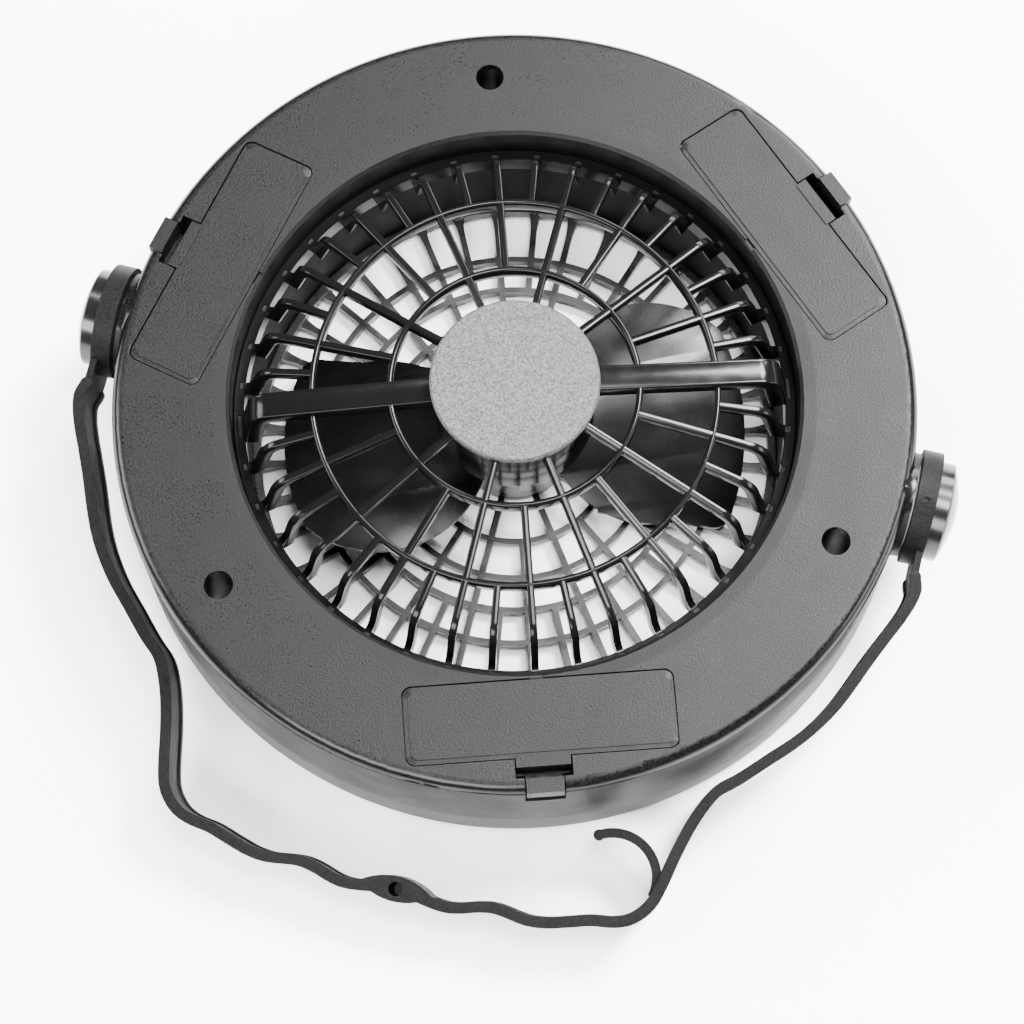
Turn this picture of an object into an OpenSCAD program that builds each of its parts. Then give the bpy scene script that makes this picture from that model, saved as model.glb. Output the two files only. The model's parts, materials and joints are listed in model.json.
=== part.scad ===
// Portable camping fan with a ring lamp, lying on its front rim.
// Origin on the fan axis at the rest plane, +Z to the rear, +X along the bail's pivots.
// All sizes in millimetres.

/* [Housing] */
// Radius of the air opening in the rear plate
opening_r = 68.5; // [64:0.5:74]
// Depth from the front rim to the rear plate
body_depth = 43; // [42:0.5:48]
// Height of the seam between the two shells
seam_z = 13.6; // [13:0.1:14.5]
// Wall thickness of both shells
wall = 2.2; // [1.8:0.1:2.6]
// Thickness of the rear plate
plate_t = 2.4; // [2.2:0.1:2.8]
// Rounding of the rolled edges
edge_round = 3; // [2:0.5:3.5]
// Outward slope of the rear shell, rear edge to seam
rear_draft = 0.4; // [0.1:0.1:0.8]
// Outward slope of the front shell, seam to rim
front_draft = 0.3; // [0.1:0.1:0.8]
// Bevel round the air opening
opening_bevel = 0.8; // [0.4:0.1:1.2]
// Wall of the air duct
duct_wall = 1.8; // [1.4:0.1:2.2]
// Depth of the rear shell's duct wall below the plate
duct_depth = 13; // [12:0.5:14]
// Gap left where the shells meet
seam_gap = 0.1; // [0.05:0.01:0.2]
// Depth of the tongue that enters the front shell
tongue_h = 2; // [1.5:0.1:2.5]
// Thickness of the tongue
tongue_t = 1; // [0.8:0.1:1.1]
// Turn of the doors, screws and ribs from the pivot axis
trim_turn = 18; // [15:1:21]

/* [Cells and doors] */
// Diameter of one cell
cell_d = 14.5; // [14:0.1:15]
// Length of one cell with its nub
cell_len = 50.5; // [49:0.5:52]
// Length of a cell's nub
nub_len = 1.3; // [1:0.1:1.6]
// Radius of a cell's nub
nub_r = 2.7; // [2:0.1:3]
// Room beside a cell in its bay
cell_side_gap = 0.35; // [0.2:0.05:0.6]
// Room above and below a cell in its bay
cell_height_gap = 1; // [0.8:0.1:1.2]
// Height of a pressed contact spring
spring_h = 6.7; // [6:0.1:8]
// Radius of a contact spring's widest turn
spring_r = 5; // [4.5:0.1:5.4]
// Thickness of a contact plate
contact_t = 0.5; // [0.3:0.1:0.6]
// Width and height of a contact plate
contact_w = 11; // [9:0.5:12]
// Gap at each end of a cell
cell_end_gap = 0.1; // [0.05:0.05:0.2]
// Wall of a battery bay
bay_wall = 1.4; // [1.2:0.1:1.6]
// Floor of a battery bay
bay_floor = 1.2; // [1:0.1:1.6]
// Door overlap along a bay's long sides
door_lap_side = 1.55; // [1.4:0.05:1.8]
// Door overlap at a bay's ends
door_lap_end = 2.2; // [2:0.1:2.6]
// Thickness of a door
door_t = 1.9; // [1.7:0.1:2]
// Gap round a door
door_gap = 0.3; // [0.2:0.05:0.4]
// Gap under a door
door_seat_gap = 0.1; // [0.05:0.05:0.2]
// Corner radius of a door
door_corner = 2; // [1:0.5:3]
// Width of the step round a door's face
door_step_w = 1.1; // [0.8:0.1:1.4]
// Height of the step round a door's face
door_step_h = 0.3; // [0.2:0.1:0.5]
// Plate left between the air opening and a door
door_inset = 1.2; // [1.1:0.1:1.6]
// Thickness of the ledge a door rests on
ledge_t = 2; // [1.6:0.1:2.4]
// Sideways distance of the hinge tabs from a door's middle
tab_side = 18; // [14:1:21]
// Width of a hinge tab
tab_w = 8; // [6:0.5:9]
// Thickness of a hinge tab
tab_t = 2.25; // [1.8:0.05:2.3]
// Reach of a hinge tab under the plate
tab_reach = 1.45; // [1:0.05:1.5]
// Length of a hinge tab under the door
tab_back = 2.2; // [2:0.1:2.4]
// Half width of a door's spring clip
clip_half = 6.3; // [6:0.1:6.6]
// Half width of the latch block
latch_half = 4.35; // [4:0.05:4.6]
// Gap beside the clip and the latch block
latch_gap = 0.38; // [0.3:0.02:0.45]
// Depth of the spring clip below the rear plate
clip_depth = 8.4; // [7:0.2:8.6]
// Thickness of the clip's legs
clip_t = 1.2; // [1:0.1:1.3]
// Length from a door's recess to the latch block
latch_run = 4.8; // [4.6:0.1:5]
// Thickness of the latch block
latch_t = 3.5; // [3.2:0.1:3.6]
// Height the latch block stands above the plate
latch_proud = 0.5; // [0:0.1:0.8]

/* [Housing screws] */
// Distance of the housing screws from the fan axis, beyond the opening's edge
screw_out = 15.5; // [15:0.1:16]
// Radius of a screw well
well_r = 3.45; // [3.2:0.05:3.6]
// Wall of a screw well
well_wall = 1.35; // [1.2:0.05:1.5]
// Floor of a screw well
well_floor = 2.1; // [1.8:0.1:2.4]
// Shank radius of a housing screw
shank_r = 1.5; // [1.4:0.05:1.55]
// Head radius of a housing screw
screw_head_r = 2.8; // [2.5:0.1:3]
// Head height of a housing screw
screw_head_h = 2.2; // [1.8:0.1:2.4]
// Length of a housing screw under its head
shank_len = 11.2; // [10:0.2:12]
// Wall of a screw post in the front shell
post_wall = 1.85; // [1.6:0.05:2]
// Radial gap of a screw in its well's floor
floor_hole_gap = 0.15; // [0.1:0.05:0.2]
// Radial gap of a screw in its post
post_hole_gap = 0.05; // [0.03:0.01:0.08]

/* [Basket] */
// Height of the ribs' cone above the plate at the hub
cone_rise = 8.4; // [8.2:0.1:8.8]
// Radius where the cone starts, the hub cup's outside
hub_r = 19.3; // [19:0.1:20]
// Slope of the ribs' cone
rib_slope = 7.75; // [7:0.25:8]
// Distance from the opening's edge in to where a rib bends
bend_inset = 11; // [10:0.5:12]
// Radius of a rib's bend
bend_r = 6; // [5.5:0.5:6.5]
// Lean of a rib's leg from upright
leg_lean = 16; // [15:0.5:17]
// Width of a rib
rib_w = 1.8; // [1.5:0.1:2]
// Depth of a rib
rib_d = 3.2; // [2.8:0.1:3.4]
// Bevel on the top edges of ribs and rings
rib_bevel = 0.45; // [0.3:0.05:0.55]
// Number of places for ribs
rib_places = 40; // [40:20:40]
// Radius of the inner ring
inner_ring_r = 29.7; // [28:0.5:32]
// Radius of the outer ring
outer_ring_r = 48.4; // [46:0.5:50]
// Width of a ring
ring_w = 1.5; // [1.3:0.1:1.8]
// Depth of a ring
ring_d = 4.2; // [3.6:0.1:4.6]
// Width of the two wide arms
arm_w = 6.2; // [5.5:0.1:7]
// Depth of the wide arms
arm_d = 4.4; // [4:0.1:4.8]
// Slope of the wide arms
arm_slope = 4.2; // [4:0.1:4.5]
// Height of an arm above the plate at the hub
arm_rise = 7.9; // [7.7:0.1:8.2]
// Distance from the opening's edge in to where an arm bends
arm_bend_inset = 10; // [9.5:0.5:10.5]
// Lean of an arm's leg from upright
arm_lean = 12; // [11:0.5:13]
// Depth of the trough along an arm
arm_trough = 0.6; // [0.4:0.1:1]
// Wall beside the trough
arm_edge = 1; // [0.8:0.1:1.3]
// Thickness of the base ring's flange
base_flange_t = 1.8; // [1.5:0.1:2]
// Height of the base ring inside the duct
base_ring_h = 4; // [3.5:0.1:4.4]
// Width of the base ring
base_ring_w = 2.6; // [2.5:0.1:2.8]
// Radial gap of the base ring in the duct
base_gap = 0.2; // [0.1:0.05:0.3]
// Radial size of the small windows outside the ribs' feet
window_w = 1.1; // [1:0.05:1.15]
// Wall left outside the windows
window_edge = 1.05; // [0.9:0.05:1.1]
// Gap round the front shell's pips in the windows
pip_gap = 0.15; // [0.1:0.05:0.2]
// Radius of the fillet at a rib's foot
foot_r = 1.8; // [1.4:0.1:2]

/* [Hub and motor] */
// Height of the hub cup's rim above the cone's start
cup_over = 0.7; // [0.5:0.1:1]
// Wall of the hub cup
cup_wall = 1.8; // [1.6:0.1:2]
// Depth of the hub cup
cup_depth = 21.1; // [20:0.1:21.5]
// Thickness of the cup's top
cup_top = 2.2; // [2:0.1:2.6]
// Depth of the recess that takes the hub cap
cap_recess = 0.6; // [0.5:0.1:0.8]
// Radius of the hub cap
hub_cap_r = 20.2; // [20:0.1:21]
// Thickness of the hub cap
hub_cap_t = 1.6; // [1.4:0.1:2]
// Bevel of the hub cap
hub_cap_bevel = 0.5; // [0.3:0.1:0.7]
// Gap of the cap's spigot in the recess
cap_gap = 0.2; // [0.1:0.05:0.3]
// Radius of the motor can
motor_r = 14; // [13.5:0.1:14.3]
// Length of the motor can
motor_len = 16.8; // [16:0.1:17.4]
// Radial gap round the motor
motor_gap = 0.15; // [0.1:0.05:0.25]
// Wall of the sleeve that holds the motor
sleeve_t = 1.45; // [1.2:0.05:1.7]
// Radius of the motor's front boss
motor_boss_r = 3; // [2.5:0.1:4]
// Height of the motor's front boss
motor_boss_h = 1.5; // [1:0.1:1.6]
// Radius of the motor shaft
shaft_r = 1; // [0.9:0.05:1.2]
// Radial clearance of the shaft in the motor
shaft_gap = 0.05; // [0.03:0.01:0.08]
// Depth of the shaft's bore in the motor can
motor_bore = 13.5; // [12:0.5:13.5]
// Distance of a motor screw from the axis
motor_screw_out = 8; // [7:0.5:9]
// Shank radius of a motor screw
motor_screw_r = 1; // [0.9:0.05:1.1]
// Head radius of a motor screw
motor_head_r = 1.9; // [1.8:0.1:2.1]
// Head height of a motor screw
motor_head_h = 0.8; // [0.6:0.1:0.9]
// Length of a motor screw in the motor
motor_screw_len = 2.9; // [2.5:0.1:3.5]
// Radial gap round a motor screw
motor_screw_gap = 0.1; // [0.05:0.05:0.15]

/* [Fan] */
// Radius of the fan
fan_r = 57.5; // [56:0.5:58.5]
// Radius of the fan's hub
fan_hub_r = 15; // [14:0.5:16]
// Height of the fan's hub
fan_hub_h = 20.5; // [20:0.5:21]
// Wall of the fan's hub
fan_hub_wall = 1.8; // [1.5:0.1:2.2]
// Gap between the fan's hub and the cup
fan_top_gap = 1.5; // [1.2:0.1:2]
// Radius of the shaft boss in the fan's hub
fan_boss_r = 4; // [3.5:0.5:5]
// Thickness of a blade
blade_t = 1.6; // [1.3:0.1:2]
// Pitch of a blade
blade_pitch = 13; // [11:1:14]
// Radius of a blade's curve
blade_curve = 220; // [180:10:260]
// Radius of a blade's rounded outline
blade_out_r = 27; // [25:0.5:28]
// Distance of that outline's centre from the axis
blade_mid = 34; // [33:0.5:36]
// Height of a blade's middle below the rear plate
blade_drop = 27.5; // [26:0.5:28]
// Corner radius at a blade's trailing tip
blade_corner_r = 5; // [4:0.5:6]
// Turn of that corner behind the blade's middle
corner_turn = 28.5; // [27:0.5:30]
// Turn of the trailing edge against the blade's middle
trail_turn = 15.6; // [14:0.2:17]
// Length of the straight trailing edge
trail_len = 28.6; // [26:0.2:30]
// Turn of the fan at rest
fan_turn = 23; // [0:1:90]
// Gap between the shaft's end and the bottom of the motor's bore
shaft_end_gap = 0.3; // [0.2:0.1:0.6]

/* [Front] */
// Radial width of the flat rest face
rest_w = 10.5; // [9:0.5:11]
// Step from the rest face back to the lamp
front_step = 1.2; // [1:0.1:1.4]
// Thickness of the front face
front_t = 2.4; // [2:0.1:2.6]
// Wall of the lamp trough
trough_wall = 1.6; // [1.4:0.1:1.8]
// Depth of the lamp trough
trough_depth = 8.4; // [8.2:0.1:8.8]
// Wall of the front shell's collar
collar_wall = 2.2; // [1.8:0.1:2.4]
// Distance of the collar's bore inside the rear opening's edge
collar_inset = 2.2; // [2.1:0.1:2.4]
// Thickness of the collar's flange
collar_flange_t = 2; // [1.6:0.1:2.4]
// Width of the lip that carries the front grille
lip_w = 1.5; // [1.2:0.1:1.8]
// Thickness of that lip
lip_t = 0.8; // [0.6:0.1:0.9]
// Height of the lip above the rest plane
lip_z = 0.6; // [0.4:0.1:0.8]
// Gap round the front grille
grille_gap = 0.2; // [0.1:0.05:0.3]
// Width of the front grille's outer ring
grille_rim_w = 2; // [1.6:0.1:2.4]
// Depth of the front grille's outer ring
grille_rim_h = 3.2; // [2.6:0.1:3.6]
// Depth of the front grille's bars
grille_bar_h = 2.4; // [2:0.1:2.6]
// Width of the front grille's bars
grille_bar_w = 1.6; // [1.4:0.1:1.8]
// Width of a bar's foot at the rim
grille_foot_w = 4; // [3:0.2:4.6]
// Length of a bar's foot
grille_foot_len = 7; // [5:0.5:9]
// Radius of the front grille's first ring
grille_ring_a = 25; // [23:0.5:27]
// Radius of the front grille's second ring
grille_ring_b = 34.5; // [32:0.5:36]
// Radius of the front grille's third ring
grille_ring_c = 42.8; // [42:0.2:44]
// Radius of the front grille's fourth ring
grille_ring_d = 51.3; // [50:0.1:53]
// Width of the front grille's rings
grille_ring_w = 1.5; // [1.3:0.1:1.8]
// Radius of the front grille's middle disc
grille_disc_r = 13.5; // [12:0.5:15]

/* [Lamp] */
// Width of the lamp's ring
lamp_w = 11.5; // [11:0.1:11.6]
// Gap beside the lamp's parts
lamp_gap = 0.4; // [0.3:0.05:0.5]
// Height of the lens above the lamp's front step
lens_set = 0.2; // [0.1:0.05:0.4]
// Thickness of the lens
lens_t = 1.8; // [1.5:0.1:2]
// Gap behind the lens
lens_back_gap = 0.2; // [0.1:0.05:0.3]
// Depth of the reflector
reflector_h = 4.5; // [4:0.1:4.6]
// Gap behind the reflector
reflector_back_gap = 0.1; // [0.05:0.05:0.15]
// Thickness of the lamp board
board_t = 1.5; // [1.2:0.1:1.6]
// Number of lights
light_count = 18; // [12:6:18]
// Radius of a reflector cone at its mouth
cone_mouth_r = 4.9; // [4.5:0.1:5]
// Radius of a reflector cone at its back
cone_back_r = 2.7; // [2.6:0.1:3]
// Radius of a light
light_r = 2.4; // [2:0.1:2.5]
// Height of a light's straight part
light_h = 2.8; // [2.4:0.1:3]
// Height of a light's dome
light_dome = 1.2; // [0.8:0.1:1.4]

/* [Pivots] */
// Depth of the pivot axis below the rear plate
pivot_drop = 13.8; // [13.5:0.1:14.2]
// Radius of the pivot bosses
boss_r = 12.8; // [12:0.1:13.2]
// Height of a pivot boss out from the housing's edge
boss_out = 1.2; // [1:0.1:1.6]
// Flare at the base of a pivot boss
boss_flare = 0.6; // [0.3:0.1:0.7]
// Radius of the inner screw boss
pivot_post_r = 5; // [4.5:0.1:5.4]
// Depth of the inner screw boss behind the boss face
pivot_post_depth = 7.2; // [7:0.1:7.4]
// Thickness of a friction washer
washer_t = 0.55; // [0.4:0.05:0.7]
// Outer radius of a friction washer
washer_r = 10; // [9:0.5:11]
// Gap along the pivot beside the eye ring
pivot_side_gap = 0.05; // [0.03:0.01:0.08]
// Thickness of the bail's eye ring
eye_t = 4.8; // [4.4:0.1:5.2]
// Radius of the bail's eye ring
eye_r = 14; // [13.5:0.1:14.4]
// Radius of the pivot screw's shoulder
shoulder_r = 4; // [3.6:0.1:4.4]
// Radial clearance of the eye on the shoulder
shoulder_gap = 0.05; // [0.03:0.01:0.08]
// Thread radius of a pivot screw
thread_r = 1.75; // [1.6:0.05:1.9]
// Thread length of a pivot screw
thread_len = 6; // [5.6:0.1:6.2]
// Radial gap round the thread
thread_gap = 0.05; // [0.03:0.01:0.08]
// Head radius of a pivot screw
pivot_head_r = 6.5; // [6:0.1:7]
// Head height of a pivot screw
pivot_head_h = 1.6; // [1.4:0.1:1.7]
// Radius of a pivot cap
cap_r = 12; // [11:0.5:12.5]
// Height of a pivot cap's rim
cap_h = 3.6; // [3.4:0.1:3.8]
// Height of a pivot cap's dome
cap_dome = 2.6; // [2.2:0.1:3]
// Width and depth of the groove round a cap's dome
cap_groove = 0.4; // [0.3:0.1:0.5]
// Gap between the cap and the pivot screw's head
cap_head_gap = 0.1; // [0.05:0.05:0.15]
// Inner radius of the cap's spigot
spigot_r = 8.5; // [8:0.1:8.8]
// Width of the cap's spigot
spigot_w = 1.5; // [1.2:0.1:1.8]
// Length of the cap's spigot in the eye ring
spigot_len = 1.5; // [1.2:0.1:1.8]
// Gap of the cap's spigot in the eye ring
spigot_gap = 0.05; // [0.03:0.01:0.08]

/* [Bail] */
// Room between the housing's edge and the hanging hole
bail_room = 20.8; // [20.3:0.5:26.8]
// Depth of the small pin mark on the right eye ring
mark_depth = 0.5; // [0.3:0.1:0.6]
// Radius of that mark
mark_r = 0.6; // [0.5:0.1:0.8]
// Tilt of the resting bail below the pivots
bail_tilt = 9.5; // [9:0.1:9.5]
// Width of the bail
bail_w = 18; // [16:0.5:18]
// Thickness of the bail's two edge strips
edge_t = 2.7; // [2.5:0.1:3]
// Height of the bail's two edge strips
edge_h = 2.2; // [2:0.1:2.6]
// Thickness of the web between the edge strips
web_t = 1.7; // [1.5:0.1:2]
// Half length of the hanging hole's lug
lug_half = 9; // [8:0.5:10]
// Half height of the hanging hole's lug
lug_high = 3.05; // [2.9:0.05:3.3]
// Radius of the hanging hole
hang_r = 1.7; // [1.5:0.1:1.9]
// Radius of the hook's curve
hook_r = 10.4; // [10:0.1:10.8]
// Thickness of the hook
hook_t = 2.2; // [2:0.1:2.4]
// Width of the hook
hook_w = 11; // [10:0.5:12]
// Width of the hook's raised edges
hook_rim = 1.3; // [1:0.1:1.6]
// Thickness of the hook between its raised edges
hook_web = 1.4; // [1.2:0.1:1.6]
// Radius of the hook's rounded tip
hook_tip = 1.3; // [1.2:0.05:1.5]
// Distance from the hook's centre in from the bail's corner
hook_inset = 10.05; // [9.6:0.05:10.5]
// Distance from the hook's centre to the hanging hole's line
hook_back = 14.8; // [14.4:0.1:15.2]
// Opening angle of the hook's curve
hook_arc = 122; // [110:2:130]
// Angle by which the hook's root runs into the bail
hook_root = 14; // [10:1:18]
// Angle at the hook's root without raised edges
hook_bare = 24; // [20:1:30]

/* [Buttons] */
// Distance of each button from the middle plane
button_side = 10; // [9:0.5:11]
// Depth of the buttons below the rear plate
button_drop = 16; // [15.5:0.1:16.5]
// Radius of a button
button_r = 4.5; // [4:0.1:4.8]
// Radial gap round a button
button_gap = 0.2; // [0.15:0.05:0.3]
// Height a button stands out
button_proud = 2; // [1.6:0.1:2.4]
// Width of a button's inner flange
button_flange = 0.9; // [0.7:0.1:1]
// Travel of a button
button_travel = 1; // [0.8:0.1:1]
// Thickness of the switch board
switch_board_t = 1.6; // [1.4:0.1:1.8]
// Gap between a button's flange and the switch board's rail
flange_side_gap = 0.3; // [0.2:0.05:0.4]
// Width of a rail's lip over the switch board
rail_lip = 0.8; // [0.6:0.1:1]
// Height of the switch board
switch_board_h = 16; // [14:0.5:16.5]
// Gap round the switch board in its rails
rail_gap = 0.1; // [0.05:0.05:0.15]

// Gap from the flange of a button to the switch board
board_back = 7.4; // [7:0.1:8]
// Height of a push switch on the board
tact_h = 2.6; // [2.2:0.1:2.8]
// Width of a push switch
tact_w = 6; // [5.5:0.5:6.5]
// Radius of a push switch's pin
tact_pin_r = 1.2; // [1:0.1:1.4]
// Distance from the board's lower edge to the buttons' middle
board_below = 7; // [6.5:0.5:8]

/* [Hidden] */
$fn = 72;
eps = 0.02;

// Cells, bays and doors, measured outwards from the air opening
bay_w = cell_d + 2 * cell_side_gap;
bay_len = cell_len + spring_h + 2 * contact_t + 2 * cell_end_gap;
door_wid = bay_w + 2 * door_lap_side;
door_len = bay_len + 2 * door_lap_end;
recess_in = opening_r + door_inset;
recess_wid = door_wid + 2 * door_gap;
recess_len = door_len + 2 * door_gap;
recess_out = recess_in + recess_wid;
bay_mid = recess_in + recess_wid / 2;
door_in = recess_in + door_gap;
door_out = door_in + door_wid;
body_r = recess_out + latch_run + latch_t - 0.1;

rear = body_depth;
plate_low = rear - plate_t;
seam_r = body_r + rear_draft;
front_r = seam_r + front_draft;
inner_r = body_r - wall + rear_draft / 2;
duct_out = opening_r + duct_wall;
duct_low = rear - duct_depth;
door_angles = [30 + trim_turn, 150 + trim_turn, 270 + trim_turn];
screw_angles = [90 + trim_turn, 210 + trim_turn, 330 + trim_turn];

door_low = rear - door_t;
seat_z = door_low - door_seat_gap;
ledge_low = seat_z - ledge_t;
bay_low = door_low - cell_d - 2 * cell_height_gap;
bay_bottom = bay_low - bay_floor;
cell_z = bay_low + cell_height_gap + cell_d / 2 - 0.85;
hinge_x = recess_in + door_gap / 2;
tab_top = door_low - 0.25;
tab_low = tab_top - tab_t;
tab_swing = rear - tab_low + 0.4;
latch_x = recess_out + latch_run;
notch_out = latch_x - 0.2;
clip_end = hinge_x + sqrt(pow(notch_out - latch_gap - hinge_x, 2) - pow(clip_depth, 2));
pocket_low = rear - clip_depth - 0.6;
pocket_out = body_r - 0.8;

// Housing screws
screw_r = opening_r + screw_out;
well_out = well_r + well_wall;
well_bottom = seam_z + 1.5;
head_seat = well_bottom + well_floor;
post_top = well_bottom - seam_gap;
post_r = shank_r + post_hole_gap + post_wall;

// Basket
cone_top = rear + cone_rise;
rib_bend_x = opening_r - bend_inset;
rib_bend_z = cone_top - (rib_bend_x - hub_r) * tan(rib_slope);
arm_top = rear + arm_rise;
arm_bend_x = opening_r - arm_bend_inset;
arm_bend_z = arm_top - (arm_bend_x - hub_r) * tan(arm_slope);
base_low = duct_low - base_flange_t;
base_top = duct_low + base_ring_h;
base_out = opening_r - base_gap;
base_in = base_out - base_ring_w;
window_out = base_out - window_edge;

// Hub, motor and fan
cup_rim = cone_top + cup_over;
cup_under = cup_rim - cup_top;
cup_low = cup_rim - cup_depth;
recess_r = hub_r - cup_wall + 0.1;
recess_z = cup_rim - cap_recess;
motor_low = cup_under - motor_len;
motor_seat = recess_z - motor_head_h;
fan_hub_top = cup_low - fan_top_gap;
fan_hub_low = fan_hub_top - fan_hub_h;
blade_z = rear - blade_drop;
shaft_low = fan_hub_low + 1;
shaft_len = motor_low + motor_bore - shaft_end_gap - shaft_low;

// Front shell and lamp
collar_in = opening_r - collar_inset;
collar_out = collar_in + collar_wall;
lamp_in = collar_out + lamp_gap;
lamp_out = lamp_in + lamp_w;
trough_in = lamp_out + lamp_gap;
trough_out = trough_in + trough_wall;
trough_floor = front_step + trough_depth;
rest_in = front_r - edge_round - rest_w;
lens_z = front_step + lens_set;
reflector_z = lens_z + lens_t + lens_back_gap;
board_z = reflector_z + reflector_h + reflector_back_gap;
lights_r = (lamp_in + lamp_out) / 2;
grille_r = collar_in - grille_gap;
grille_z = lip_z + lip_t;

// Pivots, bail and buttons
pivot_z = rear - pivot_drop;
boss_x = body_r + boss_out;
eye_x = boss_x + washer_t + pivot_side_gap;
eye_out = eye_x + eye_t;
head_x = eye_out + pivot_side_gap;
eye_bore = shoulder_r + shoulder_gap;
bail_reach = front_r + bail_room;
bail_span = eye_x + eye_t / 2;
grip_half = bail_reach / 2;
button_z = rear - button_drop;
button_wall_in = sqrt(pow(inner_r, 2) - pow(button_side + button_r + button_flange, 2));
button_wall_out = sqrt(pow(body_r, 2) - pow(button_side, 2));
flange_y = button_wall_in - 0.3;
board_y = flange_y - board_back;
tact_y = board_y + tact_h;
board_low = button_z - board_below;
rail_in = button_side + button_r + button_flange + flange_side_gap;
rail_w = rail_lip + 2;
switch_board_half = rail_in + rail_lip;

// ---- helpers ----

module ring(r_in, r_out, z_low, z_high) {
  rotate_extrude()
    translate([r_in, z_low])
      square([r_out - r_in, z_high - z_low]);
}

module slab(x0, x1, half, z0, z1) {
  translate([x0, -half, z0])
    cube([x1 - x0, 2 * half, z1 - z0]);
}

module at_doors() {
  for (a = door_angles)
    rotate([0, 0, a])
      children();
}

module at_screws() {
  for (a = screw_angles)
    rotate([0, 0, a])
      translate([screw_r, 0, 0])
        children();
}

// Children are drawn along +X and set at both pivots.
module at_pivots() {
  for (s = [0, 180])
    rotate([0, 0, s])
      translate([0, 0, pivot_z])
        children();
}

module rod_x(x0, x1, r) {
  translate([x0, 0, 0])
    rotate([0, 90, 0])
      cylinder(h = x1 - x0, r = r);
}

module rod_y(y0, y1, r) {
  translate([0, y0, 0])
    rotate([-90, 0, 0])
      cylinder(h = y1 - y0, r = r);
}

module round_rect(len_x, len_y, r) {
  square([len_x - 2 * r, len_y], center = true);
  square([len_x, len_y - 2 * r], center = true);
  for (x = [-1, 1], y = [-1, 1])
    translate([x * (len_x / 2 - r), y * (len_y / 2 - r)])
      circle(r);
}

// ---- rear shell ----

module shell_profile() {
  difference() {
    union() {
      polygon([
        [opening_r, duct_low],
        [opening_r, rear - opening_bevel],
        [opening_r + opening_bevel, rear],
        [body_r - edge_round, rear],
        [body_r - edge_round, rear - edge_round],
        [body_r, rear - edge_round],
        [seam_r, seam_z],
        [duct_out, seam_z]
      ]);
      translate([body_r - edge_round, rear - edge_round])
        circle(edge_round);
    }
    polygon([
      [duct_out, seam_z - 1],
      [duct_out, plate_low],
      [inner_r - 2, plate_low],
      [inner_r, plate_low - 2],
      [seam_r - wall, seam_z],
      [seam_r - wall, seam_z - 1]
    ]);
    translate([opening_r - 1, seam_z - 1])
      square([duct_wall + 2, duct_low - seam_z + 1]);
  }
}

module bay_block() {
  slab(recess_in + 0.9, recess_out, recess_len / 2 - 1.1, bay_bottom, ledge_low + 0.5);
  slab(opening_r + 0.1, recess_out + bay_wall, recess_len / 2 + bay_wall, ledge_low, seat_z + 0.6);
  slab(recess_out - 0.6, pocket_out, clip_half + latch_gap + bay_wall, pocket_low - bay_wall, seat_z);
}

module bay_cut() {
  slab(bay_mid - bay_w / 2, bay_mid + bay_w / 2, bay_len / 2, bay_low, rear + 1);
  translate([bay_mid, 0, seat_z])
    linear_extrude(rear)
      round_rect(recess_wid, recess_len, door_corner + door_gap);
  for (s = [-1, 1])
    translate([0, s * tab_side, 0])
      slab(hinge_x - tab_reach - 0.2, bay_mid - bay_w / 2 + 1, tab_w / 2 + latch_gap,
        rear - tab_swing, seat_z + eps);
  slab(recess_out - door_gap, notch_out, clip_half + latch_gap, pocket_low, rear + 2);
  slab(notch_out - 0.5, front_r + 4, latch_half + latch_gap, pocket_low, rear + 2);
  slab(recess_in - 0.9, recess_in + 1, 1.6, rear - 0.9, rear + 1);
}

module pivot_boss() {
  rod_x(boss_x - boss_out - wall - 1.6, boss_x, boss_r);
  translate([boss_x - boss_out - 1.5, 0, 0])
    rotate([0, 90, 0])
      cylinder(h = 1.6, r1 = boss_r + boss_flare, r2 = boss_r);
  rod_x(boss_x - pivot_post_depth, boss_x - 2, pivot_post_r);
}

module board_rail() {
  for (s = [-1, 1])
    difference() {
      translate([s * (rail_in + rail_w / 2) - rail_w / 2, board_y - switch_board_t - 1.6, board_low])
        cube([rail_w, inner_r - board_y + switch_board_t + 0.2, plate_low - board_low + 0.5]);
      translate([-switch_board_half - rail_gap, board_y - switch_board_t - rail_gap, board_low - 1])
        cube([2 * switch_board_half + 2 * rail_gap, switch_board_t + 2 * rail_gap,
          switch_board_h + 1 + rail_gap]);
    }
}

module rear_shell() {
  color([0.055, 0.055, 0.06])
  difference() {
    union() {
      rotate_extrude()
        shell_profile();
      ring(seam_r - wall, seam_r - wall + tongue_t, seam_z - tongue_h, seam_z + 1);
      at_doors()
        bay_block();
      at_screws()
        translate([0, 0, well_bottom])
          cylinder(h = plate_low - well_bottom + 0.5, r = well_out);
      at_pivots()
        pivot_boss();
      board_rail();
    }
    at_doors()
      bay_cut();
    at_screws() {
      translate([0, 0, head_seat])
        cylinder(h = rear, r = well_r);
      translate([0, 0, well_bottom - 1])
        cylinder(h = rear, r = shank_r + floor_hole_gap);
    }
    at_pivots()
      rod_x(boss_x - thread_len - 0.5, boss_x + 1, thread_r + thread_gap);
    for (s = [-1, 1])
      translate([s * button_side, 0, button_z])
        rod_y(inner_r - 6, front_r + 2, button_r + button_gap);
  }
}

// ---- rear grille basket ----

// Cross-section of a bar, top at y = 0, bevelled along its top edges.
function bar_points(w, d) = [
  [-w / 2, -d], [w / 2, -d], [w / 2, -rib_bevel],
  [w / 2 - rib_bevel, 0], [-w / 2 + rib_bevel, 0], [-w / 2, -rib_bevel]
];

// The same with a shallow trough along its top.
function arm_points(w, d) = [
  [-w / 2, -d], [w / 2, -d], [w / 2, -rib_bevel], [w / 2 - rib_bevel, 0],
  [w / 2 - arm_edge, 0], [w / 2 - arm_edge, -arm_trough],
  [arm_edge - w / 2, -arm_trough], [arm_edge - w / 2, 0],
  [-w / 2 + rib_bevel, 0], [-w / 2, -rib_bevel]
];

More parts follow.
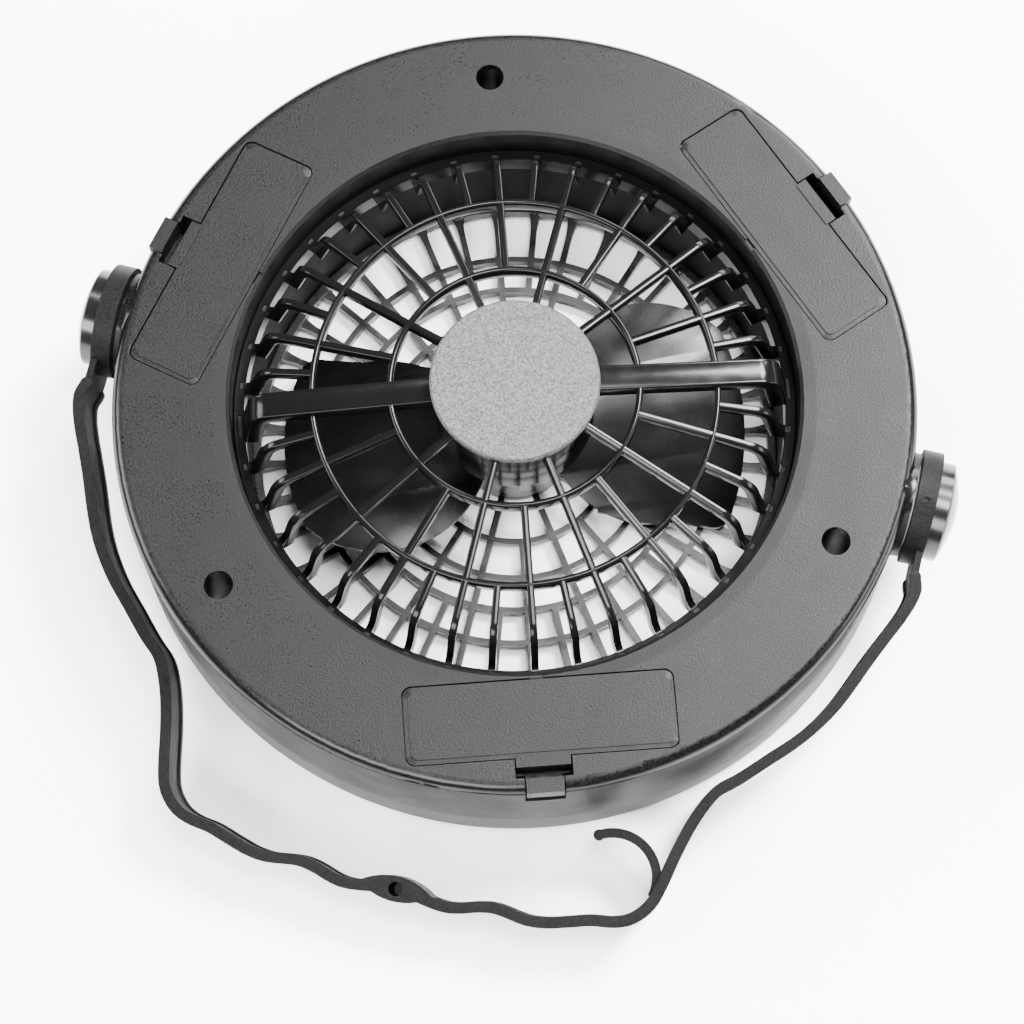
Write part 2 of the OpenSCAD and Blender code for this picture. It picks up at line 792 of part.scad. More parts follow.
// Overlap of a rib's straight parts with its bend.
lap = 0.02;

// One rib: a sloping bar, a bend and a leaning leg down to the base ring.
module rib(points, r_in, bend_x, bend_z, slope, lean) {
  run = (bend_x - r_in) / cos(slope);
  mid_x = bend_x - bend_r * sin(slope);
  mid_z = bend_z - bend_r * cos(slope);
  leg_x = mid_x + bend_r * cos(lean);
  leg_z = mid_z + bend_r * sin(lean);
  leg = (leg_z - duct_low - 0.5) / cos(lean);
  translate([r_in, 0, bend_z + (bend_x - r_in) * tan(slope)])
    rotate([0, slope, 0])
      rotate([90, 0, 90])
        linear_extrude(run + lap)
          polygon(points);
  translate([mid_x, 0, mid_z])
    rotate([90, 0, 0])
      rotate([0, 0, lean])
        rotate_extrude(angle = 90 - slope - lean)
          polygon([for (p = points) [bend_r + p[1], p[0]]]);
  translate([leg_x, 0, leg_z])
    rotate([0, 90 - lean, 0])
      translate([-lap, 0, 0])
        rotate([90, 0, 90])
          linear_extrude(leg + lap)
            polygon(points);
}

// A block at an arm's inner end, where its trough stops.
module arm_end() {
  translate([hub_r - 1, 0, arm_bend_z + (arm_bend_x - hub_r + 1) * tan(arm_slope)])
    rotate([0, arm_slope, 0])
      translate([0, arm_edge - arm_w / 2 - 0.2, -arm_trough - 0.5])
        cube([hub_cap_r - hub_r + 2, arm_w - 2 * arm_edge + 0.4, arm_trough + 0.4]);
}

// A block with a fillet that joins a rib's leg to the base ring.
module rib_foot() {
  mid_x = rib_bend_x - bend_r * sin(rib_slope);
  mid_z = rib_bend_z - bend_r * cos(rib_slope);
  z_top = base_top + foot_r;
  face_x = mid_x + bend_r * cos(leg_lean) + (mid_z + bend_r * sin(leg_lean) - z_top) * tan(leg_lean);
  translate([0, rib_w / 2, 0])
    rotate([90, 0, 0])
      linear_extrude(rib_w)
        difference() {
          translate([face_x - 0.8, duct_low])
            square([base_in + 0.3 - face_x + 0.8, z_top - duct_low]);
          translate([face_x + foot_r, z_top])
            circle(foot_r);
        }
}

module plain_rib(r_in) {
  rib(bar_points(rib_w, rib_d), r_in, rib_bend_x, rib_bend_z, rib_slope, leg_lean);
  rib_foot();
}

module basket_ring(r) {
  z = cone_top - (r - hub_r) * tan(rib_slope) + 0.1;
  rotate_extrude()
    translate([r, z])
      polygon(bar_points(ring_w, ring_d));
}

module hub_cup() {
  difference() {
    rotate_extrude()
      polygon([
        [0, cup_under],
        [hub_r - cup_wall, cup_under],
        [hub_r - cup_wall, cup_low],
        [hub_r, cup_low],
        [hub_r, cup_rim - 0.4],
        [hub_r - 0.4, cup_rim],
        [recess_r, cup_rim],
        [recess_r, recess_z],
        [0, recess_z]
      ]);
    for (s = [-1, 1])
      translate([s * motor_screw_out, 0, 0]) {
        translate([0, 0, cup_under - 1])
          cylinder(h = 9, r = motor_screw_r + motor_screw_gap);
        translate([0, 0, motor_seat])
          cylinder(h = 9, r = motor_head_r + motor_screw_gap);
      }
  }
  ring(motor_r + motor_gap, motor_r + motor_gap + sleeve_t, motor_low + 1, cup_under + 0.5);
}

// The windows of the base ring, or the smaller pips that fill them.
module at_windows(gap, z0, z1) {
  for (i = [0 : rib_places - 1]) {
    half = (i % (rib_places / 2) == 0) ? arm_w / 2 - 0.3 : rib_w / 2;
    rotate([0, 0, trim_turn + i * 360 / rib_places])
      slab(window_out - window_w + gap, window_out - gap, half - gap, z0, z1);
  }
}

module rear_grille() {
  step = 360 / rib_places;
  color([0.04, 0.04, 0.045])
  difference() {
    union() {
      ring(base_in, duct_out - 0.1, base_low, duct_low);
      ring(base_in, base_out, base_low, base_top);
      hub_cup();
      difference() {
        union() {
          basket_ring(inner_ring_r);
          basket_ring(outer_ring_r);
        }
        for (s = [0, 180])
          rotate([0, 0, trim_turn + s])
            slab(hub_r, opening_r, (arm_w - arm_edge) / 2, rear, arm_top + 1);
      }
      rotate([0, 0, trim_turn]) {
        for (i = [1 : 4], s = [0, 180])
          rotate([0, 0, s + i * 4 * step])
            plain_rib(hub_r - 1);
        for (i = [0 : 9])
          rotate([0, 0, (4 * i + 2) * step])
            plain_rib(inner_ring_r);
        for (i = [0 : 19])
          rotate([0, 0, (2 * i + 1) * step])
            plain_rib(outer_ring_r);
        for (s = [0, 180])
          rotate([0, 0, s]) {
            rib(arm_points(arm_w, arm_d), hub_r - 1, arm_bend_x, arm_bend_z, arm_slope, arm_lean);
            arm_end();
          }
      }
    }
    at_windows(0, base_low - 1, base_top + 1);
  }
}

module hub_cap() {
  color([0.2, 0.2, 0.21])
  rotate_extrude()
    polygon([
      [0, recess_z + 0.1],
      [recess_r - cap_gap, recess_z + 0.1],
      [recess_r - cap_gap, cup_rim],
      [hub_cap_r, cup_rim],
      [hub_cap_r, cup_rim + hub_cap_t - hub_cap_bevel],
      [hub_cap_r - hub_cap_bevel, cup_rim + hub_cap_t],
      [0, cup_rim + hub_cap_t]
    ]);
}

// ---- front shell ----

module front_profile() {
  difference() {
    union() {
      polygon([
        [rest_in, 0],
        [front_r - edge_round, 0],
        [front_r - edge_round, edge_round],
        [front_r, edge_round],
        [seam_r, seam_z - seam_gap],
        [seam_r - wall, seam_z - seam_gap],
        [front_r - wall, front_t + 0.8],
        [front_r - wall - 0.8, front_t],
        [rest_in, front_t]
      ]);
      translate([front_r - edge_round, edge_round])
        circle(edge_round);
    }
    translate([front_r - edge_round - wall, front_t + 0.8])
      square([edge_round, edge_round * 2]);
    translate([seam_r - wall - 1, seam_z - tongue_h - seam_gap])
      square([1 + tongue_t + seam_gap, tongue_h + 2]);
  }
  translate([trough_in, front_step])
    square([rest_in - trough_in + 1, front_t]);
  translate([trough_in, front_step])
    square([trough_wall, trough_floor + trough_wall - front_step]);
  translate([collar_in, trough_floor])
    square([trough_out - collar_in, trough_wall]);
  translate([collar_in, lip_z])
    square([collar_wall, base_low - lip_z]);
  translate([collar_in, base_low - collar_flange_t])
    square([duct_out - 0.1 - collar_in, collar_flange_t]);
  translate([collar_in - lip_w, lip_z])
    square([lip_w + 0.1, lip_t]);
}

module front_shell() {
  color([0.62, 0.62, 0.63])
  difference() {
    union() {
      rotate_extrude()
        front_profile();
      at_screws()
        translate([0, 0, front_t - 0.2])
          cylinder(h = post_top - front_t + 0.2, r = post_r);
      at_windows(pip_gap, base_low - collar_flange_t / 2, base_top - 0.2);
    }
    at_screws()
      translate([0, 0, head_seat - shank_len - 0.6])
        cylinder(h = rear, r = shank_r + post_hole_gap);
  }
}

// One side of a bar's flared foot.
function foot_edge(side) = [
  for (i = [0 : 5])
    let (t = i / 5)
      [grille_r - 1 - grille_foot_len * (1 - t),
       side * (grille_bar_w + (grille_foot_w - grille_bar_w) * t * t * t) / 2]
];

module grille_bar(r_in, angle) {
  rotate(angle)
    polygon(concat([[r_in, -grille_bar_w / 2]], foot_edge(-1), flip(foot_edge(1)),
      [[r_in, grille_bar_w / 2]]));
}

module flat_ring(r) {
  difference() {
    circle(r + grille_ring_w / 2);
    circle(r - grille_ring_w / 2);
  }
}

module front_grille() {
  step = 360 / rib_places;
  color([0.35, 0.35, 0.36])
  union() {
    ring(grille_r - grille_rim_w, grille_r, grille_z, grille_z + grille_rim_h);
    translate([0, 0, grille_z])
      linear_extrude(grille_bar_h) {
        circle(grille_disc_r);
        flat_ring(grille_ring_a);
        flat_ring(grille_ring_b);
        flat_ring(grille_ring_c);
        flat_ring(grille_ring_d);
        for (i = [0 : 9])
          grille_bar(grille_disc_r - 0.5, trim_turn + 4 * i * step);
        for (i = [0 : 9])
          grille_bar(grille_ring_a, trim_turn + (4 * i + 2) * step);
        for (i = [0 : 19])
          grille_bar(grille_ring_c, trim_turn + (2 * i + 1) * step);
      }
  }
}

// ---- lamp ----

module lens_ring() {
  color([0.9, 0.92, 0.95, 0.6])
  ring(lamp_in, lamp_out, lens_z, lens_z + lens_t);
}

module at_lights() {
  for (i = [0 : light_count - 1])
    rotate([0, 0, trim_turn + i * 360 / light_count])
      translate([lights_r, 0, 0])
        children();
}

module reflector() {
  color([0.8, 0.8, 0.82])
  difference() {
    ring(lamp_in, lamp_out, reflector_z, reflector_z + reflector_h);
    at_lights()
      translate([0, 0, reflector_z - eps])
        cylinder(h = reflector_h + 2 * eps, r1 = cone_mouth_r, r2 = cone_back_r);
  }
}

module lamp_board() {
  color([0.9, 0.9, 0.88])
  ring(lamp_in, lamp_out, board_z, board_z + board_t);
}

module lights() {
  color([0.95, 0.95, 0.85])
  at_lights()
    translate([0, 0, board_z - light_h]) {
      cylinder(h = light_h, r = light_r);
      rotate([180, 0, 0])
        cylinder(h = light_dome, r1 = light_r, r2 = light_r / 2);
    }
}

// ---- motor and fan ----

module motor() {
  color([0.55, 0.55, 0.56])
  difference() {
    union() {
      translate([0, 0, motor_low])
        cylinder(h = motor_len, r = motor_r);
      translate([0, 0, motor_low - motor_boss_h])
        cylinder(h = motor_boss_h + 1, r = motor_boss_r);
    }
    translate([0, 0, motor_low - motor_boss_h - 1])
      cylinder(h = motor_boss_h + 1 + motor_bore, r = shaft_r + shaft_gap);
    for (s = [-1, 1])
      translate([s * motor_screw_out, 0, cup_under - motor_screw_len - 0.2])
        cylinder(h = motor_screw_len + 1, r = motor_screw_r + motor_screw_gap);
  }
}

module motor_screws() {
  color([0.7, 0.7, 0.72])
  for (s = [-1, 1])
    translate([s * motor_screw_out, 0, 0]) {
      difference() {
        translate([0, 0, motor_seat])
          cylinder(h = motor_head_h, r = motor_head_r);
        for (a = [0, 90])
          rotate([0, 0, a])
            translate([-motor_head_r * 0.6, -0.2, motor_seat + motor_head_h / 2])
              cube([motor_head_r * 1.2, 0.4, 1]);
      }
      translate([0, 0, cup_under - motor_screw_len])
        cylinder(h = motor_seat - cup_under + motor_screw_len + eps, r = motor_screw_r);
    }
}

module motor_shaft() {
  color([0.75, 0.75, 0.77])
  translate([0, 0, shaft_low])
    cylinder(h = shaft_len, r = shaft_r);
}

// A blade's outline: a round leading side and a straight trailing edge with a small corner.
module blade_outline() {
  corner = (fan_r - blade_corner_r) * [cos(corner_turn), -sin(corner_turn)];
  tip = corner - (blade_corner_r - 0.05) * [sin(trail_turn), cos(trail_turn)];
  intersection() {
    circle(fan_r);
    union() {
      translate([blade_mid, 0])
        circle(blade_out_r);
      translate(corner)
        circle(blade_corner_r + 0.05);
      polygon([
        tip - trail_len * [cos(trail_turn), -sin(trail_turn)],
        tip,
        corner,
        (fan_r - 0.5) * [cos(corner_turn), -sin(corner_turn)],
        (fan_r + blade_corner_r) * [cos(corner_turn / 2), -sin(corner_turn / 2)],
        [blade_mid, 0]
      ]);
    }
  }
}

module blade() {
  n_y = sin(blade_pitch);
  n_z = cos(blade_pitch);
  intersection() {
    translate([0, 0, fan_hub_low - fan_hub_h])
      linear_extrude(4 * fan_hub_h)
        blade_outline();
    translate([0, blade_curve * n_y, blade_z - blade_curve * n_z])
      difference() {
        rod_x(fan_boss_r + 1, fan_r + 5, blade_curve + blade_t / 2);
        rod_x(fan_boss_r, fan_r + 6, blade_curve - blade_t / 2);
      }
  }
}

module fan_rotor() {
  color([0.03, 0.03, 0.035])
  rotate([0, 0, fan_turn])
  difference() {
    union() {
      difference() {
        translate([0, 0, fan_hub_low])
          cylinder(h = fan_hub_h, r = fan_hub_r);
        translate([0, 0, fan_hub_low + fan_hub_wall])
          cylinder(h = fan_hub_h, r = fan_hub_r - fan_hub_wall);
      }
      translate([0, 0, fan_hub_low])
        cylinder(h = fan_hub_h, r = fan_boss_r);
      for (s = [0, 180])
        rotate([0, 0, s])
          blade();
    }
    translate([0, 0, fan_hub_low + fan_hub_wall])
      ring(fan_boss_r, fan_hub_r - fan_hub_wall, 0, 3 * fan_hub_h);
    translate([0, 0, fan_hub_top])
      cylinder(h = 3 * fan_hub_h, r = hub_r + 1.3);
    translate([0, 0, shaft_low])
      cylinder(h = 3 * fan_hub_h, r = shaft_r);
  }
}

// ---- bail ----

// Half of the bail's centre line, from the eye ring to the hanging hole.
// x runs along the pivots, y away from them, u is a 118.3th of the reach.
u = bail_reach / 118.3;
neck = (eye_t - web_t) / 2 - pip_gap / 3;

half_path = [
  [bail_span + neck, 7 * u], [bail_span + neck, 12.5 * u], [bail_span + 1.7 * u, 17.8 * u],
  [bail_span + 2.5 * u, 20.8 * u], [bail_span + 1.9 * u, 24.3 * u], [bail_span + 0.3 * u, 28.6 * u],
  [bail_span - 1.8 * u, 33.2 * u], [bail_span - 4.6 * u, 39.5 * u],
  [bail_span - 9.9 * u, 52 * u], [bail_span - 15.8 * u, 61 * u],
  [bail_span - 22.3 * u, 68 * u], [bail_span - 28 * u, 74 * u], [grip_half + 9.5 * u, 78 * u],
  [grip_half + 6.8 * u, 83 * u], [grip_half + 4.7 * u, 89 * u], [grip_half + 3 * u, 96 * u],
  [grip_half + 1.6 * u, 103 * u], [grip_half, 108 * u], [grip_half - 3.2 * u, 111.8 * u],
  [grip_half - 7.2 * u, 113.7 * u], [grip_half - 12.7 * u, 114.6 * u], [grip_half - 17.2 * u, 116 * u],
  [grip_half - 22.7 * u, 117.6 * u], [grip_half - 27.7 * u, 118.1 * u], [grip_half - 34.7 * u, 117.2 * u],
  [grip_half - 39.2 * u, 117.8 * u], [grip_half - 44.2 * u, 119.3 * u], [grip_half - 48.7 * u, 119.6 * u],
  [0, bail_reach]
];

last = len(half_path) - 1;
path_steps = 4;

function path_at(i) = half_path[min(max(i, 0), last)];

// A smooth curve through four neighbouring points.
function curve(a, b, c, d, t) =
  0.5 * (2 * b + (c - a) * t + (2 * a - 5 * b + 4 * c - d) * t * t
  + (3 * b - a - 3 * c + d) * t * t * t);

function smooth_path(first) = [
  for (i = [first : last - 1], k = [0 : path_steps - 1])
    curve(path_at(i - 1), path_at(i), path_at(i + 1),
      i + 2 > last ? [-path_at(last - 1)[0], path_at(last - 1)[1]] : path_at(i + 2),
      k / path_steps),
  half_path[last]
];

function unit(v) = v / norm(v);

// Points beside a line at a sideways distance, the last one on the middle plane.
function beside(line, off) = [
  for (i = [0 : len(line) - 1])
    i == len(line) - 1 ? [0, line[i][1] + off] :
      let (d = unit(line[i + 1] - line[max(i - 1, 0)]))
        line[i] + off * [d[1], -d[0]]
];

function flip(line) = [for (i = [len(line) - 1 : -1 : 0]) line[i]];

// A strip of even thickness along the bail from one point of its path, with round ends.
module strip(first, t) {
  line = smooth_path(first);
  outer = beside(line, t / 2);
  inner = beside(line, -t / 2);
  for (s = [0, 1])
    mirror([s, 0]) {
      polygon(concat(outer, flip(inner)));
      translate(line[0])
        circle(t / 2);
    }
}

module lug() {
  r = (pow(lug_half, 2) + pow(lug_high, 2)) / (2 * lug_high);
  translate([0, bail_reach])
    intersection() {
      translate([0, r - lug_high])
        circle(r);
      translate([0, lug_high - r])
        circle(r);
    }
}

// Part of a flat ring between two angles.
module arc_band(r_in, r_out, from, to) {
  intersection() {
    difference() {
      circle(r_out);
      circle(r_in);
    }
    polygon([
      [0, 0],
      for (i = [0 : 4]) let (a = from + (to - from) * i / 4) 2 * r_out * [cos(a), sin(a)]
    ]);
  }
}

// The hook curls inside the bail's corner and has raised edges.
module hook() {
  r_in = hook_r - hook_t / 2;
  r_out = hook_r + hook_t / 2;
  side = (hook_t - hook_web) / 2;
  hollow = hook_w - 2 * hook_rim;
  translate([grip_half - hook_inset, hook_back - bail_reach, 0])
    difference() {
      translate([0, 0, -hook_w / 2])
        linear_extrude(hook_w) {
          arc_band(r_in, r_out, -hook_root, hook_arc);
          translate([hook_r * cos(hook_arc), hook_r * sin(hook_arc)])
            circle(hook_tip);
        }
      translate([0, 0, -hollow / 2])
        linear_extrude(hollow) {
          arc_band(r_out - side, r_out + 1, hook_bare, hook_arc - hook_root);
          arc_band(r_in - 1, r_in + side, hook_bare, hook_arc - hook_root);
        }
    }
}

// Drawn flat: x along the pivots, y back to them, z across the bail's width.
module flat_bail() {
  mirror([0, 1, 0]) {
    translate([0, 0, -bail_w / 2])
      linear_extrude(edge_h)
        strip(2, edge_t);
    translate([0, 0, bail_w / 2 - edge_h])
      linear_extrude(edge_h)
        strip(2, edge_t);
    translate([0, 0, edge_h / 2 - bail_w / 2])
      linear_extrude(bail_w - edge_h)
        strip(0, web_t);
    translate([0, 0, -bail_w / 2])
      linear_extrude(bail_w)
        lug();
  }
  hook();
  for (s = [0, 180])
    rotate([0, 0, s])
      rod_x(eye_x, eye_out, eye_r);
}

module handle() {
  color([0.06, 0.06, 0.065])
  translate([0, 0, pivot_z])
    rotate([bail_tilt, 0, 0])
      difference() {
        flat_bail();
        for (s = [0, 180])
          rotate([0, 0, s]) {
            rod_x(eye_x - 1, eye_out + 1, eye_bore);
            spigot_ring(spigot_gap, eye_out + 1);
          }
        translate([0, -bail_reach, -bail_w])
          cylinder(h = 2 * bail_w, r = hang_r);
        translate([bail_span, 0, eye_r - mark_depth])
          cylinder(h = eye_r, r = mark_r);
      }
}

// ---- pivot hardware ----

module pivot_cap() {
  top = eye_out + cap_h;
  dome_r = cap_r - 2 * cap_groove;
  ball_r = (pow(dome_r, 2) + pow(cap_dome, 2)) / (2 * cap_dome);
  difference() {
    union() {
      rotate([0, 90, 0])
        rotate_extrude()
          polygon([
            [0, eye_out],
            [cap_r, eye_out],
            [cap_r, top - cap_groove],
            [cap_r - cap_groove, top],
            [0, top]
          ]);
      intersection() {
        rod_x(eye_out + 1, top + cap_dome, dome_r);
        translate([top + cap_dome - ball_r, 0, 0])
          rotate([0, 90, 0])
            sphere(ball_r);
      }
      spigot_ring(0, eye_out + 0.5);
    }
    rotate([0, 90, 0])
      ring(dome_r - cap_groove / 2, dome_r + cap_groove / 2, top - cap_groove, top + cap_dome);
    rod_x(eye_out - 1, head_x + pivot_head_h + cap_head_gap, pivot_head_r + cap_head_gap);
  }
}

// The cap's spigot, or its groove in the eye ring when a gap is given.
module spigot_ring(extra, x_top) {
  translate([eye_out - spigot_len - extra, 0, 0])
    rotate([0, 90, 0])
      ring(spigot_r - extra, spigot_r + spigot_w + extra, 0, x_top - eye_out + spigot_len + extra);
}

module pivot_cap_left() {
  color([0.06, 0.06, 0.065])
  translate([0, 0, pivot_z])
    rotate([0, 0, 180])
      pivot_cap();
}

module pivot_cap_right() {
  color([0.06, 0.06, 0.065])
  translate([0, 0, pivot_z])
    pivot_cap();
}

module pivot_screws() {
  color([0.72, 0.72, 0.74])
  at_pivots() {
    rod_x(boss_x - thread_len, boss_x + eps, thread_r);
    rod_x(boss_x, head_x + eps, shoulder_r);
    difference() {
      rod_x(head_x, head_x + pivot_head_h, pivot_head_r);
      for (a = [0, 90])
        rotate([a, 0, 0])
          translate([head_x + pivot_head_h / 2, -2.6, -0.6])
            cube([3, 5.2, 1.2]);
    }
  }
}

module pivot_washers() {
  color([0.85, 0.85, 0.83])
  at_pivots()
    difference() {
      rod_x(boss_x, boss_x + washer_t, washer_r);
      rod_x(boss_x - 1, boss_x + washer_t + 1, shoulder_r + 0.1);
    }
}

// ---- battery doors ----

module battery_door() {
  translate([bay_mid, 0, door_low])
    linear_extrude(door_t - door_step_h)
      round_rect(door_wid, door_len, door_corner);
  translate([bay_mid, 0, rear - door_step_h - eps])
    linear_extrude(door_step_h + eps)
      round_rect(door_wid - 2 * door_step_w, door_len - 2 * door_step_w, door_corner - 0.5);
  for (s = [-1, 1])
    translate([0, s * tab_side, 0]) {
      slab(hinge_x - tab_reach, hinge_x + tab_back, tab_w / 2, tab_low, tab_top);
      slab(door_in, hinge_x + tab_back, tab_w / 2, tab_low, door_low + eps);
    }
  slab(door_out - 0.5, door_out + 2.3, clip_half, door_low, rear);
  slab(door_out + 2.3 - clip_t, door_out + 2.3, clip_half, rear - clip_depth, rear);
  slab(door_out + 2.3 - clip_t, clip_end, clip_half, rear - clip_depth, rear - clip_depth + clip_t);
  slab(clip_end - 0.5, latch_x + 2.2, latch_half, rear - clip_depth, rear - clip_depth + clip_t);
  slab(latch_x + 2.2 - 1.6, latch_x + 2.2, latch_half, rear - clip_depth, rear - 3);
  slab(latch_x, latch_x + latch_t, latch_half, rear - 4.6, rear + latch_proud);
}

module battery_door_a() {
  color([0.055, 0.055, 0.06])
  rotate([0, 0, door_angles[0]])
    battery_door();
}

module battery_door_b() {
  color([0.055, 0.055, 0.06])
  rotate([0, 0, door_angles[1]])
    battery_door();
}

module battery_door_c() {
  color([0.055, 0.055, 0.06])
  rotate([0, 0, door_angles[2]])
    battery_door();
}

// ---- cells and contacts ----

spring_y = contact_t - bay_len / 2;
cell_y = spring_y + spring_h + cell_end_gap;

module battery_cells() {
  color([0.25, 0.3, 0.5])
  at_doors()
    translate([bay_mid, 0, cell_z]) {
      rod_y(cell_y, cell_y + cell_len - nub_len, cell_d / 2);
      rod_y(cell_y + cell_len - nub_len - eps, cell_y + cell_len, nub_r);
    }
}

module contact_springs() {
  color([0.75, 0.75, 0.72])
  at_doors()
    translate([bay_mid, spring_y, cell_z])
      rotate([-90, 0, 0])
        rotate_extrude()
          polygon([
            [0.6, 0], [1, 0], [0.84, 0.25], [0.98, 0.4], [0.72, 0.6], [0.86, 0.75],
            [0.6, 0.95], [0.6, 1], [0.36, 1], [0.36, 0.9]
          ] * [[spring_r, 0], [0, spring_h]]);
}

module contact_plates() {
  color([0.78, 0.78, 0.75])
  at_doors()
    for (s = [-1, 1])
      translate([bay_mid - contact_w / 2, s * (bay_len / 2 - contact_t / 2) - contact_t / 2, cell_z - contact_w / 2])
        cube([contact_w, contact_t, contact_w]);
}

// ---- screws, buttons and switch board ----

module housing_screws() {
  color([0.7, 0.7, 0.72])
  at_screws() {
    difference() {
      translate([0, 0, head_seat])
        cylinder(h = screw_head_h, r = screw_head_r);
      for (a = [0, 90])
        rotate([0, 0, a])
          translate([-1.6, -0.4, head_seat + screw_head_h / 2])
            cube([3.2, 0.8, 3]);
    }
    translate([0, 0, head_seat - shank_len])
      cylinder(h = shank_len + eps, r = shank_r);
  }
}

module push_button() {
  rod_y(flange_y - 2, button_wall_out + button_proud - 0.5, button_r);
  translate([0, button_wall_out + button_proud - 0.5 - eps, 0])
    rotate([-90, 0, 0])
      cylinder(h = 0.5 + eps, r1 = button_r, r2 = button_r - 0.5);
  rod_y(flange_y - 1, flange_y, button_r + button_flange);
  rod_y(tact_y + 0.55 + button_travel + 0.05, flange_y - 1.5, tact_pin_r + 0.1);
}

module fan_button() {
  color([0.1, 0.1, 0.11])
  translate([-button_side, 0, button_z])
    push_button();
}

module lamp_button() {
  color([0.1, 0.1, 0.11])
  translate([button_side, 0, button_z])
    push_button();
}

module switch_board() {
  color([0.1, 0.35, 0.2])
  union() {
    translate([-switch_board_half, board_y - switch_board_t, board_low])
      cube([2 * switch_board_half, switch_board_t, switch_board_h]);
    for (s = [-1, 1])
      translate([s * button_side, 0, button_z]) {
        translate([-tact_w / 2, board_y - eps, -tact_w / 2])
          cube([tact_w, tact_h, tact_w]);
        rod_y(tact_y - 0.5, tact_y + 0.55, tact_pin_r);
      }
  }
}

rear_shell();
rear_grille();
hub_cap();
front_shell();
front_grille();
lens_ring();
reflector();
lamp_board();
lights();
motor();
motor_screws();
motor_shaft();
fan_rotor();
handle();
pivot_cap_left();
pivot_cap_right();
pivot_screws();
pivot_washers();
battery_door_a();
battery_door_b();
battery_door_c();
battery_cells();
contact_springs();
contact_plates();
housing_screws();
fan_button();
lamp_button();
switch_board();
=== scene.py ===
import json
import math

import bmesh
import bpy
from mathutils import Matrix, Vector


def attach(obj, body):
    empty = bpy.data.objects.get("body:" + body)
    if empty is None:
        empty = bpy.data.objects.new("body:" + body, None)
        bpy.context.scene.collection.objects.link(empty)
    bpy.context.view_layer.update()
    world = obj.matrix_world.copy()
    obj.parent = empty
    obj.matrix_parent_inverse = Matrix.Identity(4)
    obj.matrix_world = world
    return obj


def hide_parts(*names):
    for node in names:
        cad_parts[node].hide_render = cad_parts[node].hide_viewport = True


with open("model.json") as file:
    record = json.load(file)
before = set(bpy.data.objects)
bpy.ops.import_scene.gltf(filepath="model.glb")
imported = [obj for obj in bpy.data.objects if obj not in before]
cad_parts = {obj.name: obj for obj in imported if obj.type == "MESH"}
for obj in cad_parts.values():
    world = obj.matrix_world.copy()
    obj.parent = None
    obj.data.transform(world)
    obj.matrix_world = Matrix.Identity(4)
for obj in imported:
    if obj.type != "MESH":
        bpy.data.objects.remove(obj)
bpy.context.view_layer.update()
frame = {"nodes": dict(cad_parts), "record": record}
nodes = frame["nodes"]
mm = 0.001
smoothAngle = 38  # faces that meet at less than this are shaded as one


def linked(name, data):
    # A new object in the scene.
    made = bpy.data.objects.new(name, data)
    bpy.context.collection.objects.link(made)
    return made


def facing(place, target):
    # The rotation that turns an object's -Z axis to a target.
    return (Vector(target) - Vector(place)).to_track_quat("-Z", "Y").to_euler()


# Camera

cameraSetup = {
    "place": (0.0507, -0.2095, 0.6458),
    "target": (0.00635, -0.02871, 0.043),
    "lens": 93.9,
    "nearest": 0.05,
    "farthest": 20,
}


def makeCamera(s):
    data = bpy.data.cameras.new("camera")
    data.lens = s["lens"]
    data.clip_start = s["nearest"]
    data.clip_end = s["farthest"]
    cam = linked("camera", data)
    cam.location = s["place"]
    cam.rotation_euler = facing(s["place"], s["target"])
    bpy.context.scene.camera = cam


makeCamera(cameraSetup)
print("camera ready")

# Floor, sky and lamps

studio = {
    "floorSize": 8.0,
    "floorColour": (0.93, 0.93, 0.93, 1),
    "floorRough": 0.7,
    "skyColour": (0.97, 0.985, 1, 1),
    "skyStrength": 0.6,
    "aim": (0, 0, 0.03),
    "lamps": [
        # name, place, width, height, power
        ("frontLamp", (-0.2, -1.08, 1.08), 1.1, 0.6, 80),
        ("rightLamp", (1.35, 0.2, 0.5), 0.8, 0.5, 30),
        ("leftLamp", (-1.25, -0.15, 0.8), 0.7, 0.6, 46),
        ("backLamp", (0.45, 1.3, 0.8), 0.9, 0.5, 64),
        ("highLamp", (0.49, 0.63, 1.18), 0.4, 0.4, 120),
        ("topLamp", (0.17, 0.03, 1.35), 0.36, 0.36, 34),
        ("smallLamp", (-0.33, 0.72, 1.3), 0.16, 0.16, 8),
    ],
}


def makeLamp(aim, name, place, width, height, power):
    data = bpy.data.lights.new(name, "AREA")
    data.shape = "RECTANGLE"
    data.size = width
    data.size_y = height
    data.energy = power
    lamp = linked(name, data)
    lamp.location = place
    lamp.rotation_euler = facing(place, aim)


def makeStudio(s):
    half = s["floorSize"] / 2
    corners = [(-half, -half, 0), (half, -half, 0), (half, half, 0), (-half, half, 0)]
    mesh = bpy.data.meshes.new("floor")
    mesh.from_pydata(corners, [], [(0, 1, 2, 3)])
    floor = linked("floor", mesh)
    paint = bpy.data.materials.new("paleFloor")
    paint.use_nodes = True
    shader = paint.node_tree.nodes["Principled BSDF"]
    shader.inputs["Base Color"].default_value = s["floorColour"]
    shader.inputs["Roughness"].default_value = s["floorRough"]
    mesh.materials.append(paint)
    world = bpy.data.worlds.new("studio")
    bpy.context.scene.world = world
    world.use_nodes = True
    sky = world.node_tree.nodes["Background"]
    sky.inputs["Color"].default_value = s["skyColour"]
    sky.inputs["Strength"].default_value = s["skyStrength"]
    for lamp in s["lamps"]:
        makeLamp(s["aim"], *lamp)


makeStudio(studio)
print("studio ready")

# Materials


